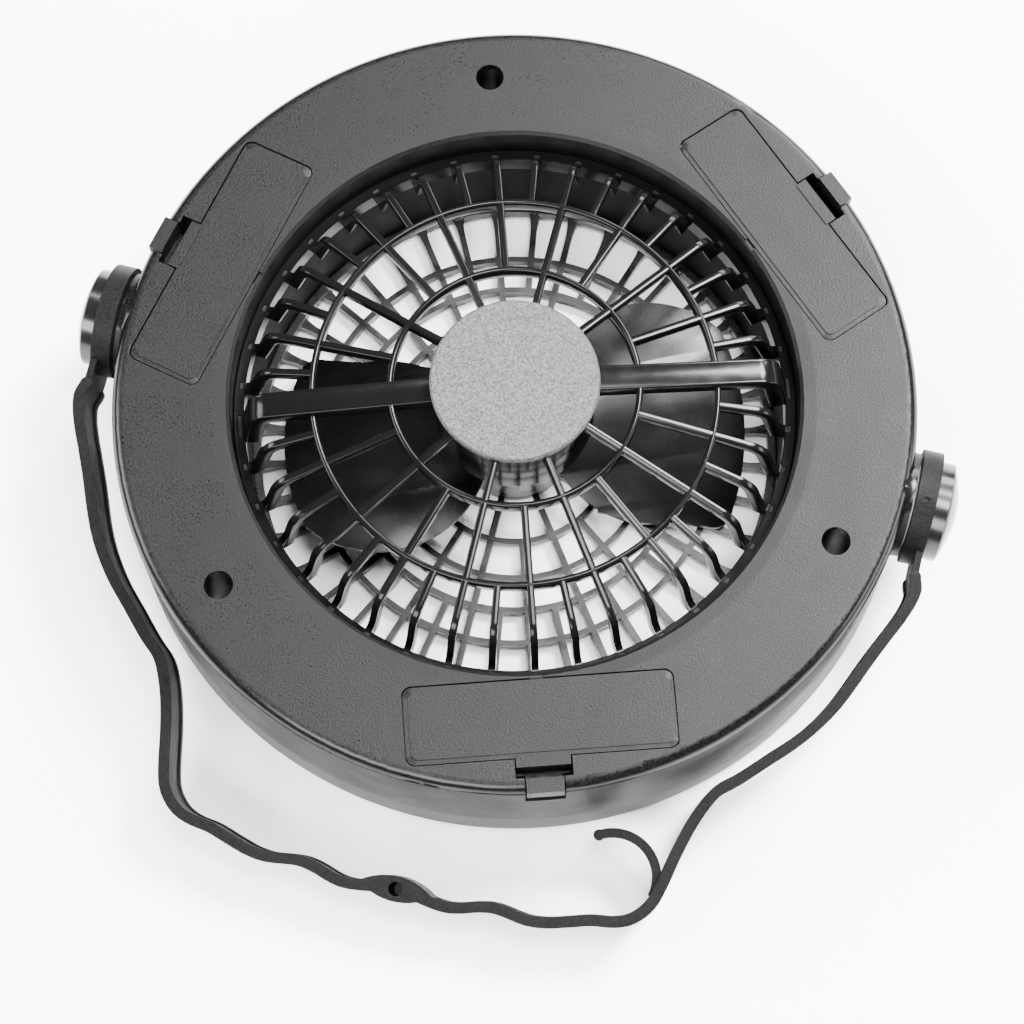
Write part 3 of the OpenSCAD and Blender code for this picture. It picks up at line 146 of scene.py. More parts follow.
class Paint:
    # A material and short ways to add nodes to it. Sizes are in metres.
    def __init__(self, name):
        self.material = bpy.data.materials.new(name)
        self.material.use_nodes = True
        self.tree = self.material.node_tree
        self.shader = self.tree.nodes["Principled BSDF"]
        self.coords = self.add("ShaderNodeTexCoord").outputs["Object"]

    def add(self, kind, **settings):
        made = self.tree.nodes.new(kind)
        for key, value in settings.items():
            setattr(made, key, value)
        return made

    def join(self, source, socket):
        if isinstance(source, bpy.types.NodeSocket):
            self.tree.links.new(source, socket)
        else:
            socket.default_value = source

    def noise(self, size, detail=3.0, rough=0.55, stretch=None):
        made = self.add("ShaderNodeTexNoise")
        source = self.coords
        if stretch:
            scaled = self.add("ShaderNodeMapping")
            self.join(self.coords, scaled.inputs["Vector"])
            scaled.inputs["Scale"].default_value = stretch
            source = scaled.outputs["Vector"]
        self.join(source, made.inputs["Vector"])
        made.inputs["Scale"].default_value = 1 / size
        made.inputs["Detail"].default_value = detail
        made.inputs["Roughness"].default_value = rough
        return made.outputs["Fac"]

    def spread(self, source, low, high, fromLow=0.3, fromHigh=0.7):
        made = self.add("ShaderNodeMapRange")
        self.join(source, made.inputs["Value"])
        made.inputs["From Min"].default_value = fromLow
        made.inputs["From Max"].default_value = fromHigh
        made.inputs["To Min"].default_value = low
        made.inputs["To Max"].default_value = high
        return made.outputs["Result"]

    def near(self, source, middle, swing):
        # A value that swings to both sides of a middle one.
        return self.spread(source, middle - swing, middle + swing)

    def sums(self, operation, a, b=0.0):
        made = self.add("ShaderNodeMath", operation=operation)
        self.join(a, made.inputs[0])
        self.join(b, made.inputs[1])
        return made.outputs[0]

    def blend(self, fac, a, b, kind="RGBA"):
        made = self.add("ShaderNodeMix", data_type=kind)
        self.join(fac, made.inputs["Factor"])
        self.join(a, made.inputs["A"])
        self.join(b, made.inputs["B"])
        return made.outputs["Result"]

    def relief(self, height, depth, strength=1.0, under=None):
        made = self.add("ShaderNodeBump")
        self.join(height, made.inputs["Height"])
        made.inputs["Distance"].default_value = depth
        self.join(strength, made.inputs["Strength"])
        if under is not None:
            self.join(under, made.inputs["Normal"])
        return made.outputs["Normal"]

    def put(self, **values):
        for key, value in values.items():
            self.join(value, self.shader.inputs[key.replace("_", " ")])


def shade(colour, factor):
    return tuple(min(1, c * factor) for c in colour) + (1,)


plasticRules = {
    "ior": 1.5,
    "paintedShadeFade": 0.0002,  # how far one finish takes to turn into the next
    "grainFade": 0.0002,
    "edgeFade": 0.0004,
    "wallFade": 0.0003,
    "swing": 0.04,  # of the gloss of the grained plate and of the wall
    "fleck": (0.36, 0.64),  # the part of the fine noise that is spread out
}
plainPlastic = {
    "specular": 0.5, "mottle": 0.1, "mottleSize": 0.02, "smear": 0.05, "smearSize": 0.006,
    "waveSize": 0.01, "waveDepth": 0.00003,
}
plasticLooks = {
    "shell": {
        "colour": (0.0021, 0.0021, 0.0022), "speck": 0.95, "glint": 0.1, "specular": 0.12,
        "gloss": 0.5, "smearSize": 0.012, "waveSize": 0.03, "waveDepth": 0.00006,
        "edgeFrom": 0.0403, "edgeGloss": 0.2, "wallRadius": 0.0722, "wallGloss": 0.5,
        "grainFrom": 0.0427, "grainGloss": 0.38, "grainSize": 0.0005, "grainDepth": 0.0001},
    "door": {
        "colour": (0.0019, 0.0019, 0.002), "speck": 0.95, "glint": 0.1, "specular": 0.12,
        "gloss": 0.4, "smearSize": 0.012, "waveSize": 0.03, "waveDepth": 0.00004,
        "grainSize": 0.0005, "grainDepth": 0.0001},
    "basket": {
        "colour": (0.0018, 0.0018, 0.0019), "specular": 0.1,
        "gloss": 0.16, "smear": 0.04, "smearSize": 0.008, "waveDepth": 0.00004},
    "hub_cap": {
        "colour": (0.031, 0.031, 0.032), "speck": 0.9, "glint": 0.1, "specular": 0.3,
        "gloss": 0.5, "smear": 0.04, "smearSize": 0.01, "waveSize": 0.03,
        "grainSize": 0.0005, "grainDepth": 0.0001},
    "front_shell": {
        # the dark colour inside the collar radius is painted shade; the pip tops get a little of
        # the pale colour
        "colour": (0.06, 0.06, 0.0612), "paintedShadeColour": (0.0015, 0.0015, 0.0016),
        "paintedShadeRadius": 0.0682, "rimBand": (0.0008, 0.0012), "pipBand": (0.0318, 0.032),
        "pipShade": 0.12, "specular": 0.06, "mottle": 0.05, "mottleSize": 0.03,
        "gloss": 0.55, "smearSize": 0.012, "waveSize": 0.03, "waveDepth": 0.00004},
    "bail": {
        "colour": (0.0022, 0.0022, 0.0024), "speck": 0.9, "specular": 0.06,
        "gloss": 0.5, "smear": 0.06, "smearSize": 0.008, "waveSize": 0.02, "waveDepth": 0.00004,
        "grainSize": 0.0005, "grainDepth": 0.00005},
    "pivot_cap": {
        "colour": (0.002, 0.002, 0.0022), "specular": 0.3,
        "gloss": 0.22, "smearSize": 0.008, "waveSize": 0.02, "waveDepth": 0.00004},
    "fan": {
        "colour": (0.0012, 0.0012, 0.0013), "specular": 0.2,
        "gloss": 0.27, "smear": 0.04, "smearSize": 0.01, "waveSize": 0.02, "waveDepth": 0.00006},
    "button": {
        "colour": (0.007, 0.007, 0.0073), "specular": 0.2, "mottleSize": 0.01,
        "gloss": 0.4, "grainSize": 0.0005, "grainDepth": 0.00004},
    "washer": {
        "colour": (0.25, 0.25, 0.24), "mottle": 0.05, "mottleSize": 0.01, "gloss": 0.45},
    "lamp_board": {
        "colour": (0.4, 0.4, 0.385), "mottle": 0.04, "mottleSize": 0.01,
        "gloss": 0.45, "waveDepth": 0.00002},
    "switch_board": {
        "colour": (0.01, 0.07, 0.03), "mottleSize": 0.005,
        "gloss": 0.35, "waveSize": 0.002, "waveDepth": 0.00002},
    "cell": {
        "colour": (0.022, 0.025, 0.031), "specular": 0.3, "mottle": 0.05, "mottleSize": 0.01,
        "gloss": 0.3},
    "light": {
        "colour": (0.5, 0.46, 0.24), "mottle": 0.06, "mottleSize": 0.002,
        "gloss": 0.15, "smear": 0.03, "smearSize": 0.004, "waveSize": 0.004,
        "waveDepth": 0.00002},
}


def mouldedPlastic(name, look):
    # Moulded plastic, glossy or grained. Radii are from the fan's axis, and heights from the floor.
    paint = Paint(name)
    rules = plasticRules
    place = paint.add("ShaderNodeSeparateXYZ")
    paint.join(paint.coords, place.inputs[0])
    x, y, height = place.outputs
    away = paint.sums("SQRT", paint.sums("ADD", paint.sums("MULTIPLY", x, x),
                                         paint.sums("MULTIPLY", y, y)))

    def past(source, label, fade, low=0, high=1):
        # Goes from low to high where the source passes one of the look's sizes.
        return paint.spread(source, low, high, look[label], look[label] + rules[fade])

    if "speck" in look:
        # Fine grain that catches light: every grain is a little lighter or darker.
        tone = paint.noise(look["grainSize"], detail=2, rough=0.7)
        lightness, change = paint.spread(tone, 0, 1, *rules["fleck"]), look["speck"]
    else:
        tone = paint.noise(look["mottleSize"], detail=4)
        lightness, change = paint.spread(tone, 0, 1), look["mottle"]
    colour = paint.blend(lightness, shade(look["colour"], 1 - change),
                         shade(look["colour"], 1 + change))
    if "paintedShadeRadius" in look:
        # Painted shade: inside this radius the colour is dark, standing in for the shade inside the
        # collar, but for the rim it stands on and the tops of the pips, which take a little of the
        # pale colour back.
        outer = past(away, "paintedShadeRadius", "paintedShadeFade")
        rim = paint.spread(height, 1, 0, *look["rimBand"])
        pips = paint.spread(height, 0, look["pipShade"], *look["pipBand"])
        pale = paint.sums("MAXIMUM", paint.sums("MAXIMUM", outer, rim), pips)
        colour = paint.blend(pale, look["paintedShadeColour"] + (1,), colour)
    smear = paint.noise(look["smearSize"], detail=5, rough=0.6)
    gloss = paint.near(smear, look["gloss"], look["smear"])
    grained = 1.0
    if "edgeFrom" in look:
        gloss = paint.blend(past(height, "edgeFrom", "edgeFade"), gloss, look["edgeGloss"],
                            "FLOAT")
    if "grainFrom" in look:
        grained = past(height, "grainFrom", "grainFade")
        gloss = paint.blend(grained, gloss, paint.near(smear, look["grainGloss"], rules["swing"]),
                            "FLOAT")
    if "wallRadius" in look:
        gloss = paint.blend(past(away, "wallRadius", "wallFade", 1, 0), gloss,
                            paint.near(smear, look["wallGloss"], rules["swing"]), "FLOAT")
    if "glint" in look:
        # Grains tilt a little, so some shine more than others.
        shine = paint.spread(tone, -look["glint"], look["glint"], *rules["fleck"])
        gloss = paint.sums("ADD", gloss, paint.sums("MULTIPLY", shine, grained))
    bump = paint.relief(paint.noise(look["waveSize"], detail=2), look["waveDepth"])
    if "grainSize" in look:
        grain = paint.noise(look["grainSize"], detail=3, rough=0.65)
        bump = paint.relief(grain, look["grainDepth"], grained, bump)
    paint.put(Base_Color=colour, Roughness=gloss, Normal=bump, IOR=rules["ior"],
              Specular_IOR_Level=look["specular"])
    return paint.material


plainMetal = {
    "dark": 0.85, "light": 1.1, "mottleSize": 0.004, "smear": 0.08, "smearSize": 0.002,
    "stretch": (1, 1, 1), "lineDepth": 0.00001,
}
metalLooks = {
    "screw_steel": {"colour": (0.6, 0.6, 0.61), "gloss": 0.3, "lineSize": 0.0004},
    "shaft_steel": {"colour": (0.65, 0.65, 0.66), "gloss": 0.22, "lineSize": 0.0003,
                    "stretch": (0.1, 0.1, 3), "lineDepth": 0.000005},
    "motor_can": {"colour": (0.5, 0.5, 0.5), "mottleSize": 0.006, "smearSize": 0.003,
                  "gloss": 0.35, "lineSize": 0.0006, "stretch": (1, 1, 4)},
    "contact": {"colour": (0.68, 0.67, 0.63), "gloss": 0.28, "lineSize": 0.0004,
                "stretch": (1, 1, 3), "lineDepth": 0.000008},
    "front_grille": {"colour": (0.03, 0.03, 0.0305), "mottleSize": 0.01, "smearSize": 0.006,
                     "gloss": 0.3, "lineSize": 0.002},
    "reflector": {"colour": (0.82, 0.82, 0.83), "mottleSize": 0.01, "smearSize": 0.006,
                  "gloss": 0.16, "lineSize": 0.003},
}


def metal(name, look):
    paint = Paint(name)
    tone = paint.spread(paint.noise(look["mottleSize"], detail=4), 0, 1)
    colour = paint.blend(tone, shade(look["colour"], look["dark"]),
                         shade(look["colour"], look["light"]))
    gloss = paint.near(paint.noise(look["smearSize"], detail=5), look["gloss"], look["smear"])
    lines = paint.noise(look["lineSize"], detail=3, stretch=look["stretch"])
    paint.put(Base_Color=colour, Metallic=1.0, Roughness=gloss,
              Normal=paint.relief(lines, look["lineDepth"]))
    return paint.material


lensLook = {
    "colour": (0.93, 0.95, 0.96, 1),
    "clearness": 0.9,
    "ior": 1.49,
    "gloss": (0.03, 0.12),
    "smearSize": 0.006,
    "waveSize": 0.004,
    "waveDepth": 0.00004,
}


def clearPlastic(name, look):
    paint = Paint(name)
    gloss = paint.spread(paint.noise(look["smearSize"], detail=4), *look["gloss"])
    wave = paint.noise(look["waveSize"], detail=2)
    paint.put(Base_Color=look["colour"], Roughness=gloss, Transmission_Weight=look["clearness"],
              IOR=look["ior"], Normal=paint.relief(wave, look["waveDepth"]))
    return paint.material


paints = {name: mouldedPlastic(name, plainPlastic | look) for name, look in plasticLooks.items()}
paints.update({name: metal(name, plainMetal | look) for name, look in metalLooks.items()})
paints["lens"] = clearPlastic("lens", lensLook)
for part in frame["record"]["subparts"]:
    for place in nodes[part["node"]].material_slots:
        place.material = paints[part["material_slot"]]
print("materials ready")

# Tools for the pieces


class Tree:
    # A Geometry Nodes tree with named inputs for its sizes.
    cornerSteps = 3
    mergeDistance = 0.0000005

    def __init__(self, name, sizes):
        self.group = bpy.data.node_groups.new(name, "GeometryNodeTree")
        self.sizes = sizes
        face = self.group.interface
        face.new_socket("Geometry", in_out="OUTPUT", socket_type="NodeSocketGeometry")
        kinds = {int: "NodeSocketInt", float: "NodeSocketFloat", tuple: "NodeSocketVector"}
        self.keys = {}
        for label, value in sizes.items():
            made = face.new_socket(label, in_out="INPUT", socket_type=kinds[type(value)])
            self.keys[label] = made.identifier
        self.given = self.group.nodes.new("NodeGroupInput")

    def size(self, label):
        return self.given.outputs[label]

    def join(self, source, socket):
        if isinstance(source, bpy.types.NodeSocket):
            self.group.links.new(source, socket)
        else:
            socket.default_value = source

    def add(self, kind, settings=None, **values):
        made = self.group.nodes.new(kind)
        for label, value in (settings or {}).items():
            setattr(made, label, value)
        for label, value in values.items():
            self.join(value, made.inputs[label.replace("_", " ")])
        return made

    def sums(self, operation, a, b=0.0):
        made = self.add("ShaderNodeMath", {"operation": operation})
        self.join(a, made.inputs[0])
        self.join(b, made.inputs[1])
        return made.outputs[0]

    def less(self, label, by):
        # One size less another.
        return self.sums("SUBTRACT", self.size(label), self.size(by))

    def point(self, x, y, z):
        return self.add("ShaderNodeCombineXYZ", X=x, Y=y, Z=z).outputs[0]

    def moved(self, shape, place):
        return self.add("GeometryNodeTransform", Geometry=shape, Translation=place).outputs[0]

    def together(self, shapes):
        made = self.add("GeometryNodeJoinGeometry")
        for shape in shapes:
            self.join(shape, made.inputs[0])
        return made.outputs[0]

    def path(self, points, radius, steps):
        # A line through three points with a rounded corner.
        line = self.add("GeometryNodeMeshLine", Count=3).outputs[0]
        curve = self.add("GeometryNodeMeshToCurve", Mesh=line).outputs[0]
        pick = self.add("GeometryNodeIndexSwitch", {"data_type": "VECTOR"})
        pick.index_switch_items.new()
        self.join(self.add("GeometryNodeInputIndex").outputs[0], pick.inputs["Index"])
        for i, point in enumerate(points):
            self.join(point, pick.inputs[str(i)])
        bent = self.add("GeometryNodeSetPosition", Geometry=curve, Position=pick.outputs[0])
        return self.rounded(bent.outputs[0], radius, steps)

    def rounded(self, curve, radius, steps):
        made = self.add("GeometryNodeFilletCurve", Curve=curve, Radius=radius, Limit_Radius=True)
        made.mode = "POLY"
        self.join(steps, made.inputs["Count"])
        return made.outputs[0]

    def bar(self, width, height, edge, shiftX=0.0, shiftY=0.0):
        # A rounded rectangle to sweep along a path.
        flat = self.add("GeometryNodeCurvePrimitiveQuadrilateral", Width=width, Height=height)
        soft = self.rounded(flat.outputs[0], edge, self.cornerSteps)
        return self.moved(soft, self.point(shiftX, shiftY, 0.0))

    def sweep(self, curve, profile):
        made = self.add("GeometryNodeCurveToMesh", Curve=curve, Profile_Curve=profile,
                        Fill_Caps=True)
        return made.outputs[0]

    def circle(self, radius, steps):
        made = self.add("GeometryNodeCurvePrimitiveCircle", Radius=radius, Resolution=steps)
        return made.outputs[0]

    def around(self, shape, count, first, every):
        # Copies of a shape around the axis, at every so many of the places.
        points = self.add("GeometryNodePoints", Count=count).outputs[0]
        index = self.add("GeometryNodeInputIndex").outputs[0]
        place = self.sums("ADD", self.sums("MULTIPLY", index, float(every)), float(first))
        angle = self.sums("ADD", self.sums("MULTIPLY", place, self.size("placeStep")),
                          self.size("turn"))
        made = self.add("GeometryNodeInstanceOnPoints", Points=points, Instance=shape,
                        Rotation=self.point(0.0, 0.0, angle)).outputs[0]
        return self.add("GeometryNodeRealizeInstances", Geometry=made).outputs[0]

    def cut(self, shape, cutters):
        made = self.add("GeometryNodeMeshBoolean", {"operation": "DIFFERENCE", "solver": "EXACT"})
        self.join(shape, made.inputs["Mesh 1"])
        self.join(cutters, made.inputs["Mesh 2"])
        return made.outputs[0]

    def grow(self, name, shape, paint):
        # Ends the tree and turns its result into a plain mesh.
        real = self.add("GeometryNodeRealizeInstances", Geometry=shape).outputs[0]
        merged = self.add("GeometryNodeMergeByDistance", Geometry=real,
                          Distance=self.mergeDistance).outputs[0]
        painted = self.add("GeometryNodeSetMaterial", Geometry=merged, Material=paint).outputs[0]
        self.join(painted, self.group.nodes.new("NodeGroupOutput").inputs[0])
        holder = linked(name, bpy.data.meshes.new(name + "Start"))
        modifier = holder.modifiers.new("grow", "NODES")
        modifier.node_group = self.group
        for label, key in self.keys.items():
            modifier[key] = self.sizes[label]
        bpy.context.view_layer.update()
        grown = holder.evaluated_get(bpy.context.evaluated_depsgraph_get())
        mesh = bpy.data.meshes.new_from_object(grown)
        holder.modifiers.remove(modifier)
        holder.data = mesh
        return holder


def outward(mesh):
    # Turns the faces outward and smooths them up to the angle given above.
    work = bmesh.new()
    work.from_mesh(mesh)
    bmesh.ops.recalc_face_normals(work, faces=work.faces)
    for face in work.faces:
        face.smooth = True
    for edge in work.edges:
        flat = edge.calc_face_angle(0) < math.radians(smoothAngle)
        edge.smooth = len(edge.link_faces) < 2 or flat
    work.to_mesh(mesh)
    work.free()


def lathe(name, outline, steps, paint):
    # Turns a closed outline of (radius, height) points, in millimetres, round the Z axis.
    work = bmesh.new()
    columns = []
    turns = [2 * math.pi * i / steps for i in range(steps)]
    for radius, height in outline:
        r, z = mm * radius, mm * height
        if r == 0:
            columns.append([work.verts.new((0, 0, z))] * steps)
        else:
            columns.append([work.verts.new((r * math.cos(turn), r * math.sin(turn), z))
                            for turn in turns])
    for here, there in zip(columns, columns[1:] + columns[:1]):
        for i in range(steps):
            j = (i + 1) % steps
            corners = []
            for point in (here[i], there[i], there[j], here[j]):
                if point not in corners:
                    corners.append(point)
            if len(corners) > 2:
                work.faces.new(corners)
    mesh = bpy.data.meshes.new(name)
    work.to_mesh(mesh)
    work.free()
    mesh.materials.append(paint)
    return linked(name, mesh)


def joined(name, pieces):
    # One object from several, each with the place it already has.
    work = bmesh.new()
    paintList = []
    for piece in pieces:
        part = piece.data.copy()
        part.transform(piece.matrix_basis)
        shift = len(paintList)
        paintList += list(part.materials)
        start = len(work.faces)
        work.from_mesh(part)
        work.faces.ensure_lookup_table()
        for face in work.faces[start:]:
            face.material_index += shift
    mesh = bpy.data.meshes.new(name)
    work.to_mesh(mesh)
    work.free()
    unique = []
    for paint in paintList:
        if paint not in unique:
            unique.append(paint)
    for face in mesh.polygons:
        face.material_index = unique.index(paintList[face.material_index])
    for paint in unique:
        mesh.materials.append(paint)
    for piece in pieces:
        bpy.data.objects.remove(piece)
    return linked(name, mesh)


# Basket

basketSizes = {
    "turn": 18,
    "places": 40,
    # which, how many, the first place, and every so many places
    "ribSets": (("long", 4, 4, 4), ("long", 4, 24, 4), ("middle", 10, 2, 4), ("short", 20, 1, 2)),
    "armSet": (2, 0, 20),
    "windowSets": (("rib", 20, 1, 2), ("rib", 9, 2, 2), ("rib", 9, 22, 2), ("arm", 2, 0, 20)),
    "hubRadius": 19.3,
    "hubSink": 1,
    "coneTop": 51.4,
    "ribSlope": 7.75,
    "ribBendOut": 57.5,
    "ribLean": 16,
    "bendRadius": 6,
    "bendSteps": 8,
    "ribWidth": 1.8,
    "ribDepth": 3.2,
    "ribEdge": 0.42,
    "armTop": 50.9,
    "armSlope": 4.2,
    "armBendOut": 58.5,
    "armLean": 12,
    "armWidth": 6.2,
    "armDepth": 4.4,
    "armRim": 1.0,
    "armEdge": 0.3,
    "armTrough": 0.6,
    "armStart": 21.3,
    "troughInset": 0.6,
    "fillInset": 0.4,
    "fillDrop": 0.2,
    "innerRing": 29.7,
    "outerRing": 48.4,
    "ringWidth": 1.5,
    "ringDepth": 4.2,
    "ringEdge": 0.7,
    "ringRise": 0.1,
    "ringSteps": 160,
    # the room that the arms need through the rings
    "gateLength": 48,
    "gateHeight": 30,
    "gateRadius": 44,
    "gateLevel": 45,
    "footLow": 30.5,
    "footRadius": 1.8,
    "footSteps": 8,
    "footInset": 0.8,
    "footSink": 0.3,
    "footNarrow": 0.03,
    "baseIn": 65.7,
    "baseOut": 68.3,
    "baseFlange": 70.2,
    "baseLow": 28.2,
    "ductLow": 30.0,
    "baseTop": 34.0,
    "baseEdge": 0.25,
    "baseSteps": 240,
    "windowIn": 66.15,
    "windowOut": 67.25,
    "windowHeight": 20,
    "cupLow": 31.0,
    "cupWall": 1.8,
    "cupRim": 52.1,
    "cupUnder": 49.9,
    "cupLip": 0.3,
    "cupEdge": 0.4,
    "cupRound": 0.5,
    "cupBevel": 0.15,
    "cupSteps": 128,
    "recessRadius": 17.6,
    "recessHeight": 51.5,
    "sleeveIn": 14.15,
    "sleeveOut": 15.6,
    "sleeveLow": 34.1,
}


def barPath(s, start, bendOut, topAt, slope, lean, depth):
    # The middle line of a bar: a slope, a corner to be rounded and a leaning leg.
    slope, lean, bend = math.radians(slope), math.radians(lean), s["bendRadius"]
    middle = Vector((bendOut - bend * math.sin(slope), 0, topAt(bendOut) - bend * math.cos(slope)))
    inner = bend - depth / 2
    first = middle + inner * Vector((math.sin(slope), 0, math.cos(slope)))
    last = middle + inner * Vector((math.cos(lean), 0, math.sin(lean)))
    reach = inner * math.tan((math.pi / 2 - slope - lean) / 2)
    corner = first + reach * Vector((math.cos(slope), 0, -math.sin(slope)))
    begin = Vector((start - depth / 2 * math.sin(slope), 0,
                    topAt(start) - depth / 2 * math.cos(slope)))
    drop = (last.z - s["footLow"]) / math.cos(lean)
    end = last + drop * Vector((math.sin(lean), 0, -math.cos(lean)))
    return [tuple(mm * p) for p in (begin, corner, end)]


def makeBasket(s):
    def ribTop(r):
        return s["coneTop"] - (r - s["hubRadius"]) * math.tan(math.radians(s["ribSlope"]))

    def armTop(r):
        return s["armTop"] - (r - s["hubRadius"]) * math.tan(math.radians(s["armSlope"]))

    def ribPath(start):
        return barPath(s, start, s["ribBendOut"], ribTop, s["ribSlope"], s["ribLean"],
                       s["ribDepth"])

    def armPath(start):
        return barPath(s, start, s["armBendOut"], armTop, s["armSlope"], s["armLean"],
                       s["armDepth"])

    hubStart = s["hubRadius"] - s["hubSink"]
    lines = {"long": ribPath(hubStart), "middle": ribPath(s["innerRing"]),
             "short": ribPath(s["outerRing"]), "arm": armPath(hubStart)}
    sizes = {"placeStep": 2 * math.pi / s["places"], "turn": math.radians(s["turn"])}
    for kind, line in lines.items():
        for i, point in enumerate(line):
            sizes[kind + "Point" + str(i)] = point
    sizes["armEnd"] = armPath(s["armStart"])[0]
    sizes["armMiddle"] = tuple((a + b) / 2 for a, b in zip(lines["arm"][0], sizes["armEnd"]))
    for label in ("ribWidth", "ribDepth", "ribEdge", "armWidth", "armDepth", "armRim", "armEdge",
                  "armTrough", "troughInset", "fillInset", "fillDrop", "innerRing", "outerRing",
                  "ringWidth", "ringDepth", "ringEdge", "windowHeight"):
        sizes[label] = mm * s[label]
    sizes["windowDepth"] = mm * (s["windowOut"] - s["windowIn"])
    sizes["windowPlace"] = mm * (s["windowOut"] + s["windowIn"]) / 2
    sizes["ribBend"] = mm * (s["bendRadius"] - s["ribDepth"] / 2)
    sizes["armBend"] = mm * (s["bendRadius"] - s["armDepth"] / 2)
    tree = Tree("basketRibs", sizes)
    size = tree.size

    def bent(kind):
        points = [size(kind + "Point" + str(i)) for i in range(3)]
        return tree.path(points, size("armBend" if kind == "arm" else "ribBend"), s["bendSteps"])

    # Ribs
    ribBar = tree.bar(size("ribWidth"), size("ribDepth"), size("ribEdge"))
    shapes = [tree.around(tree.sweep(bent(kind), ribBar), *places)
              for kind, *places in s["ribSets"]]

    # Arms: a trough between two rims, filled up beside the hub
    line = bent("arm")
    floor = tree.bar(tree.less("armWidth", "troughInset"), tree.less("armDepth", "armTrough"),
                     size("armEdge"), shiftY=tree.sums("MULTIPLY", size("armTrough"), -0.5))
    side = tree.sums("MULTIPLY", tree.less("armWidth", "armRim"), 0.5)
    rims = [tree.bar(size("armRim"), size("armDepth"), size("armEdge"),
                     shiftX=tree.sums("MULTIPLY", side, sign)) for sign in (-1.0, 1.0)]
    shapes.append(tree.around(tree.sweep(line, tree.together([floor] + rims)), *s["armSet"]))
    stub = tree.path([size("armPoint0"), size("armMiddle"), size("armEnd")], 0.0, 1)
    fill = tree.bar(tree.less("armWidth", "fillInset"), tree.less("armDepth", "fillDrop"),
                    size("armEdge"))
    shapes.append(tree.around(tree.sweep(stub, fill), *s["armSet"]))

    # Rings, cut away where the arms pass
    ringBar = tree.bar(size("ringWidth"), size("ringDepth"), size("ringEdge"))
    rings = []
    for label in ("innerRing", "outerRing"):
        level = mm * (ribTop(s[label]) + s["ringRise"] - s["ringDepth"] / 2)
        circle = tree.circle(size(label), s["ringSteps"])
        rings.append(tree.sweep(tree.moved(circle, tree.point(0.0, 0.0, level)), ringBar))
    gate = tree.add("GeometryNodeMeshCube", Size=(
        mm * s["gateLength"], mm * (s["armWidth"] - s["armRim"]), mm * s["gateHeight"]))
    gate = tree.moved(gate.outputs[0], (mm * s["gateRadius"], 0, mm * s["gateLevel"]))
    shapes.append(tree.cut(tree.together(rings), tree.around(gate, *s["armSet"])))

    # Feet, and the base ring with a window for every leg
    foot = tree.add("GeometryNodeObjectInfo", Object=ribFoot(s)).outputs["Geometry"]
    for kind, *places in s["ribSets"]:
        shapes.append(tree.around(foot, *places))
    band = tree.add("GeometryNodeObjectInfo", Object=baseBand(s)).outputs["Geometry"]
    widths = {"rib": size("ribWidth"), "arm": tree.less("armWidth", "troughInset")}
    shift = tree.point(size("windowPlace"), 0.0, mm * s["baseTop"])
    windows = []
    for kind, *places in s["windowSets"]:
        cutter = tree.point(size("windowDepth"), widths[kind], size("windowHeight"))
        cutter = tree.add("GeometryNodeMeshCube", Size=cutter).outputs[0]
        windows.append(tree.around(tree.moved(cutter, shift), *places))
    shapes.append(tree.cut(band, tree.together(windows)))
    made = tree.grow("basket", tree.together(shapes), paints["basket"])
    for spare in ("ribFoot", "baseBand"):
        bpy.data.objects.remove(bpy.data.objects[spare])
    return made


def ribFoot(s):
    # The fillet between a rib's leg and the base ring.
    lean, slope = math.radians(s["ribLean"]), math.radians(s["ribSlope"])
    bend, radius = s["bendRadius"], s["footRadius"]
    top = s["baseTop"] + radius
    bendTop = s["coneTop"] - (s["ribBendOut"] - s["hubRadius"]) * math.tan(slope)
    bendOut, bendLevel = s["ribBendOut"] - bend * math.sin(slope), bendTop - bend * math.cos(slope)
    face = bendOut + bend * math.cos(lean)
    face += (bendLevel + bend * math.sin(lean) - top) * math.tan(lean)
    back, out = face - s["footInset"], s["baseIn"] + s["footSink"]
    side = [(back, s["ductLow"]), (out, s["ductLow"])]
    for i in range(s["footSteps"] + 1):
        turn = math.radians(-90 - 90 * i / s["footSteps"])
        x = face + radius * (1 + math.cos(turn))
        side.append((min(x, out), top + radius * math.sin(turn)))
    side.append((back, top))
    half = s["ribWidth"] / 2 - s["footNarrow"]
    points = [(mm * x, mm * y, mm * z) for y in (-half, half) for x, z in side]
    count = len(side)
    faces = [tuple(range(count)), tuple(range(2 * count - 1, count - 1, -1))]
    faces += [(i, (i + 1) % count, count + (i + 1) % count, count + i) for i in range(count)]
    mesh = bpy.data.meshes.new("ribFoot")
    mesh.from_pydata(points, [], faces)
    return linked("ribFoot", mesh)


def baseBand(s):
    edge, top, inside, outside = s["baseEdge"], s["baseTop"], s["baseIn"], s["baseOut"]
    outline = [
        (inside, s["baseLow"]), (s["baseFlange"], s["baseLow"]), (s["baseFlange"], s["ductLow"]),
        (outside, s["ductLow"]), (outside, top - edge), (outside - edge, top),
        (inside + edge, top), (inside, top - edge),
    ]
    return lathe("baseBand", outline, s["baseSteps"], paints["basket"])


def makeCup(s):
    # The cup that holds the motor, with its sleeve.
    hub, rim, low, under = s["hubRadius"], s["cupRim"], s["cupLow"], s["cupUnder"]
    lip, edge, bevel, bore = s["cupLip"], s["cupEdge"], s["cupBevel"], hub - s["cupWall"]
    outline = [
        (0, under), (s["sleeveIn"], under), (s["sleeveIn"], s["sleeveLow"]),
        (s["sleeveOut"], s["sleeveLow"]), (s["sleeveOut"], under), (bore, under),
        (bore, low + lip), (bore + lip, low), (hub - edge, low), (hub, low + edge),
        (hub, rim - s["cupRound"]), (hub - bevel, rim - bevel), (hub - s["cupRound"], rim),
        (s["recessRadius"], rim), (s["recessRadius"], s["recessHeight"]), (0, s["recessHeight"]),
    ]
    return lathe("hubCup", outline, s["cupSteps"], paints["basket"])


basket = joined("basket", [makeBasket(basketSizes), makeCup(basketSizes)])
outward(basket.data)
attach(basket, "housing")
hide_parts("rear_grille")
print("basket ready")


# Ejector marks on the bail

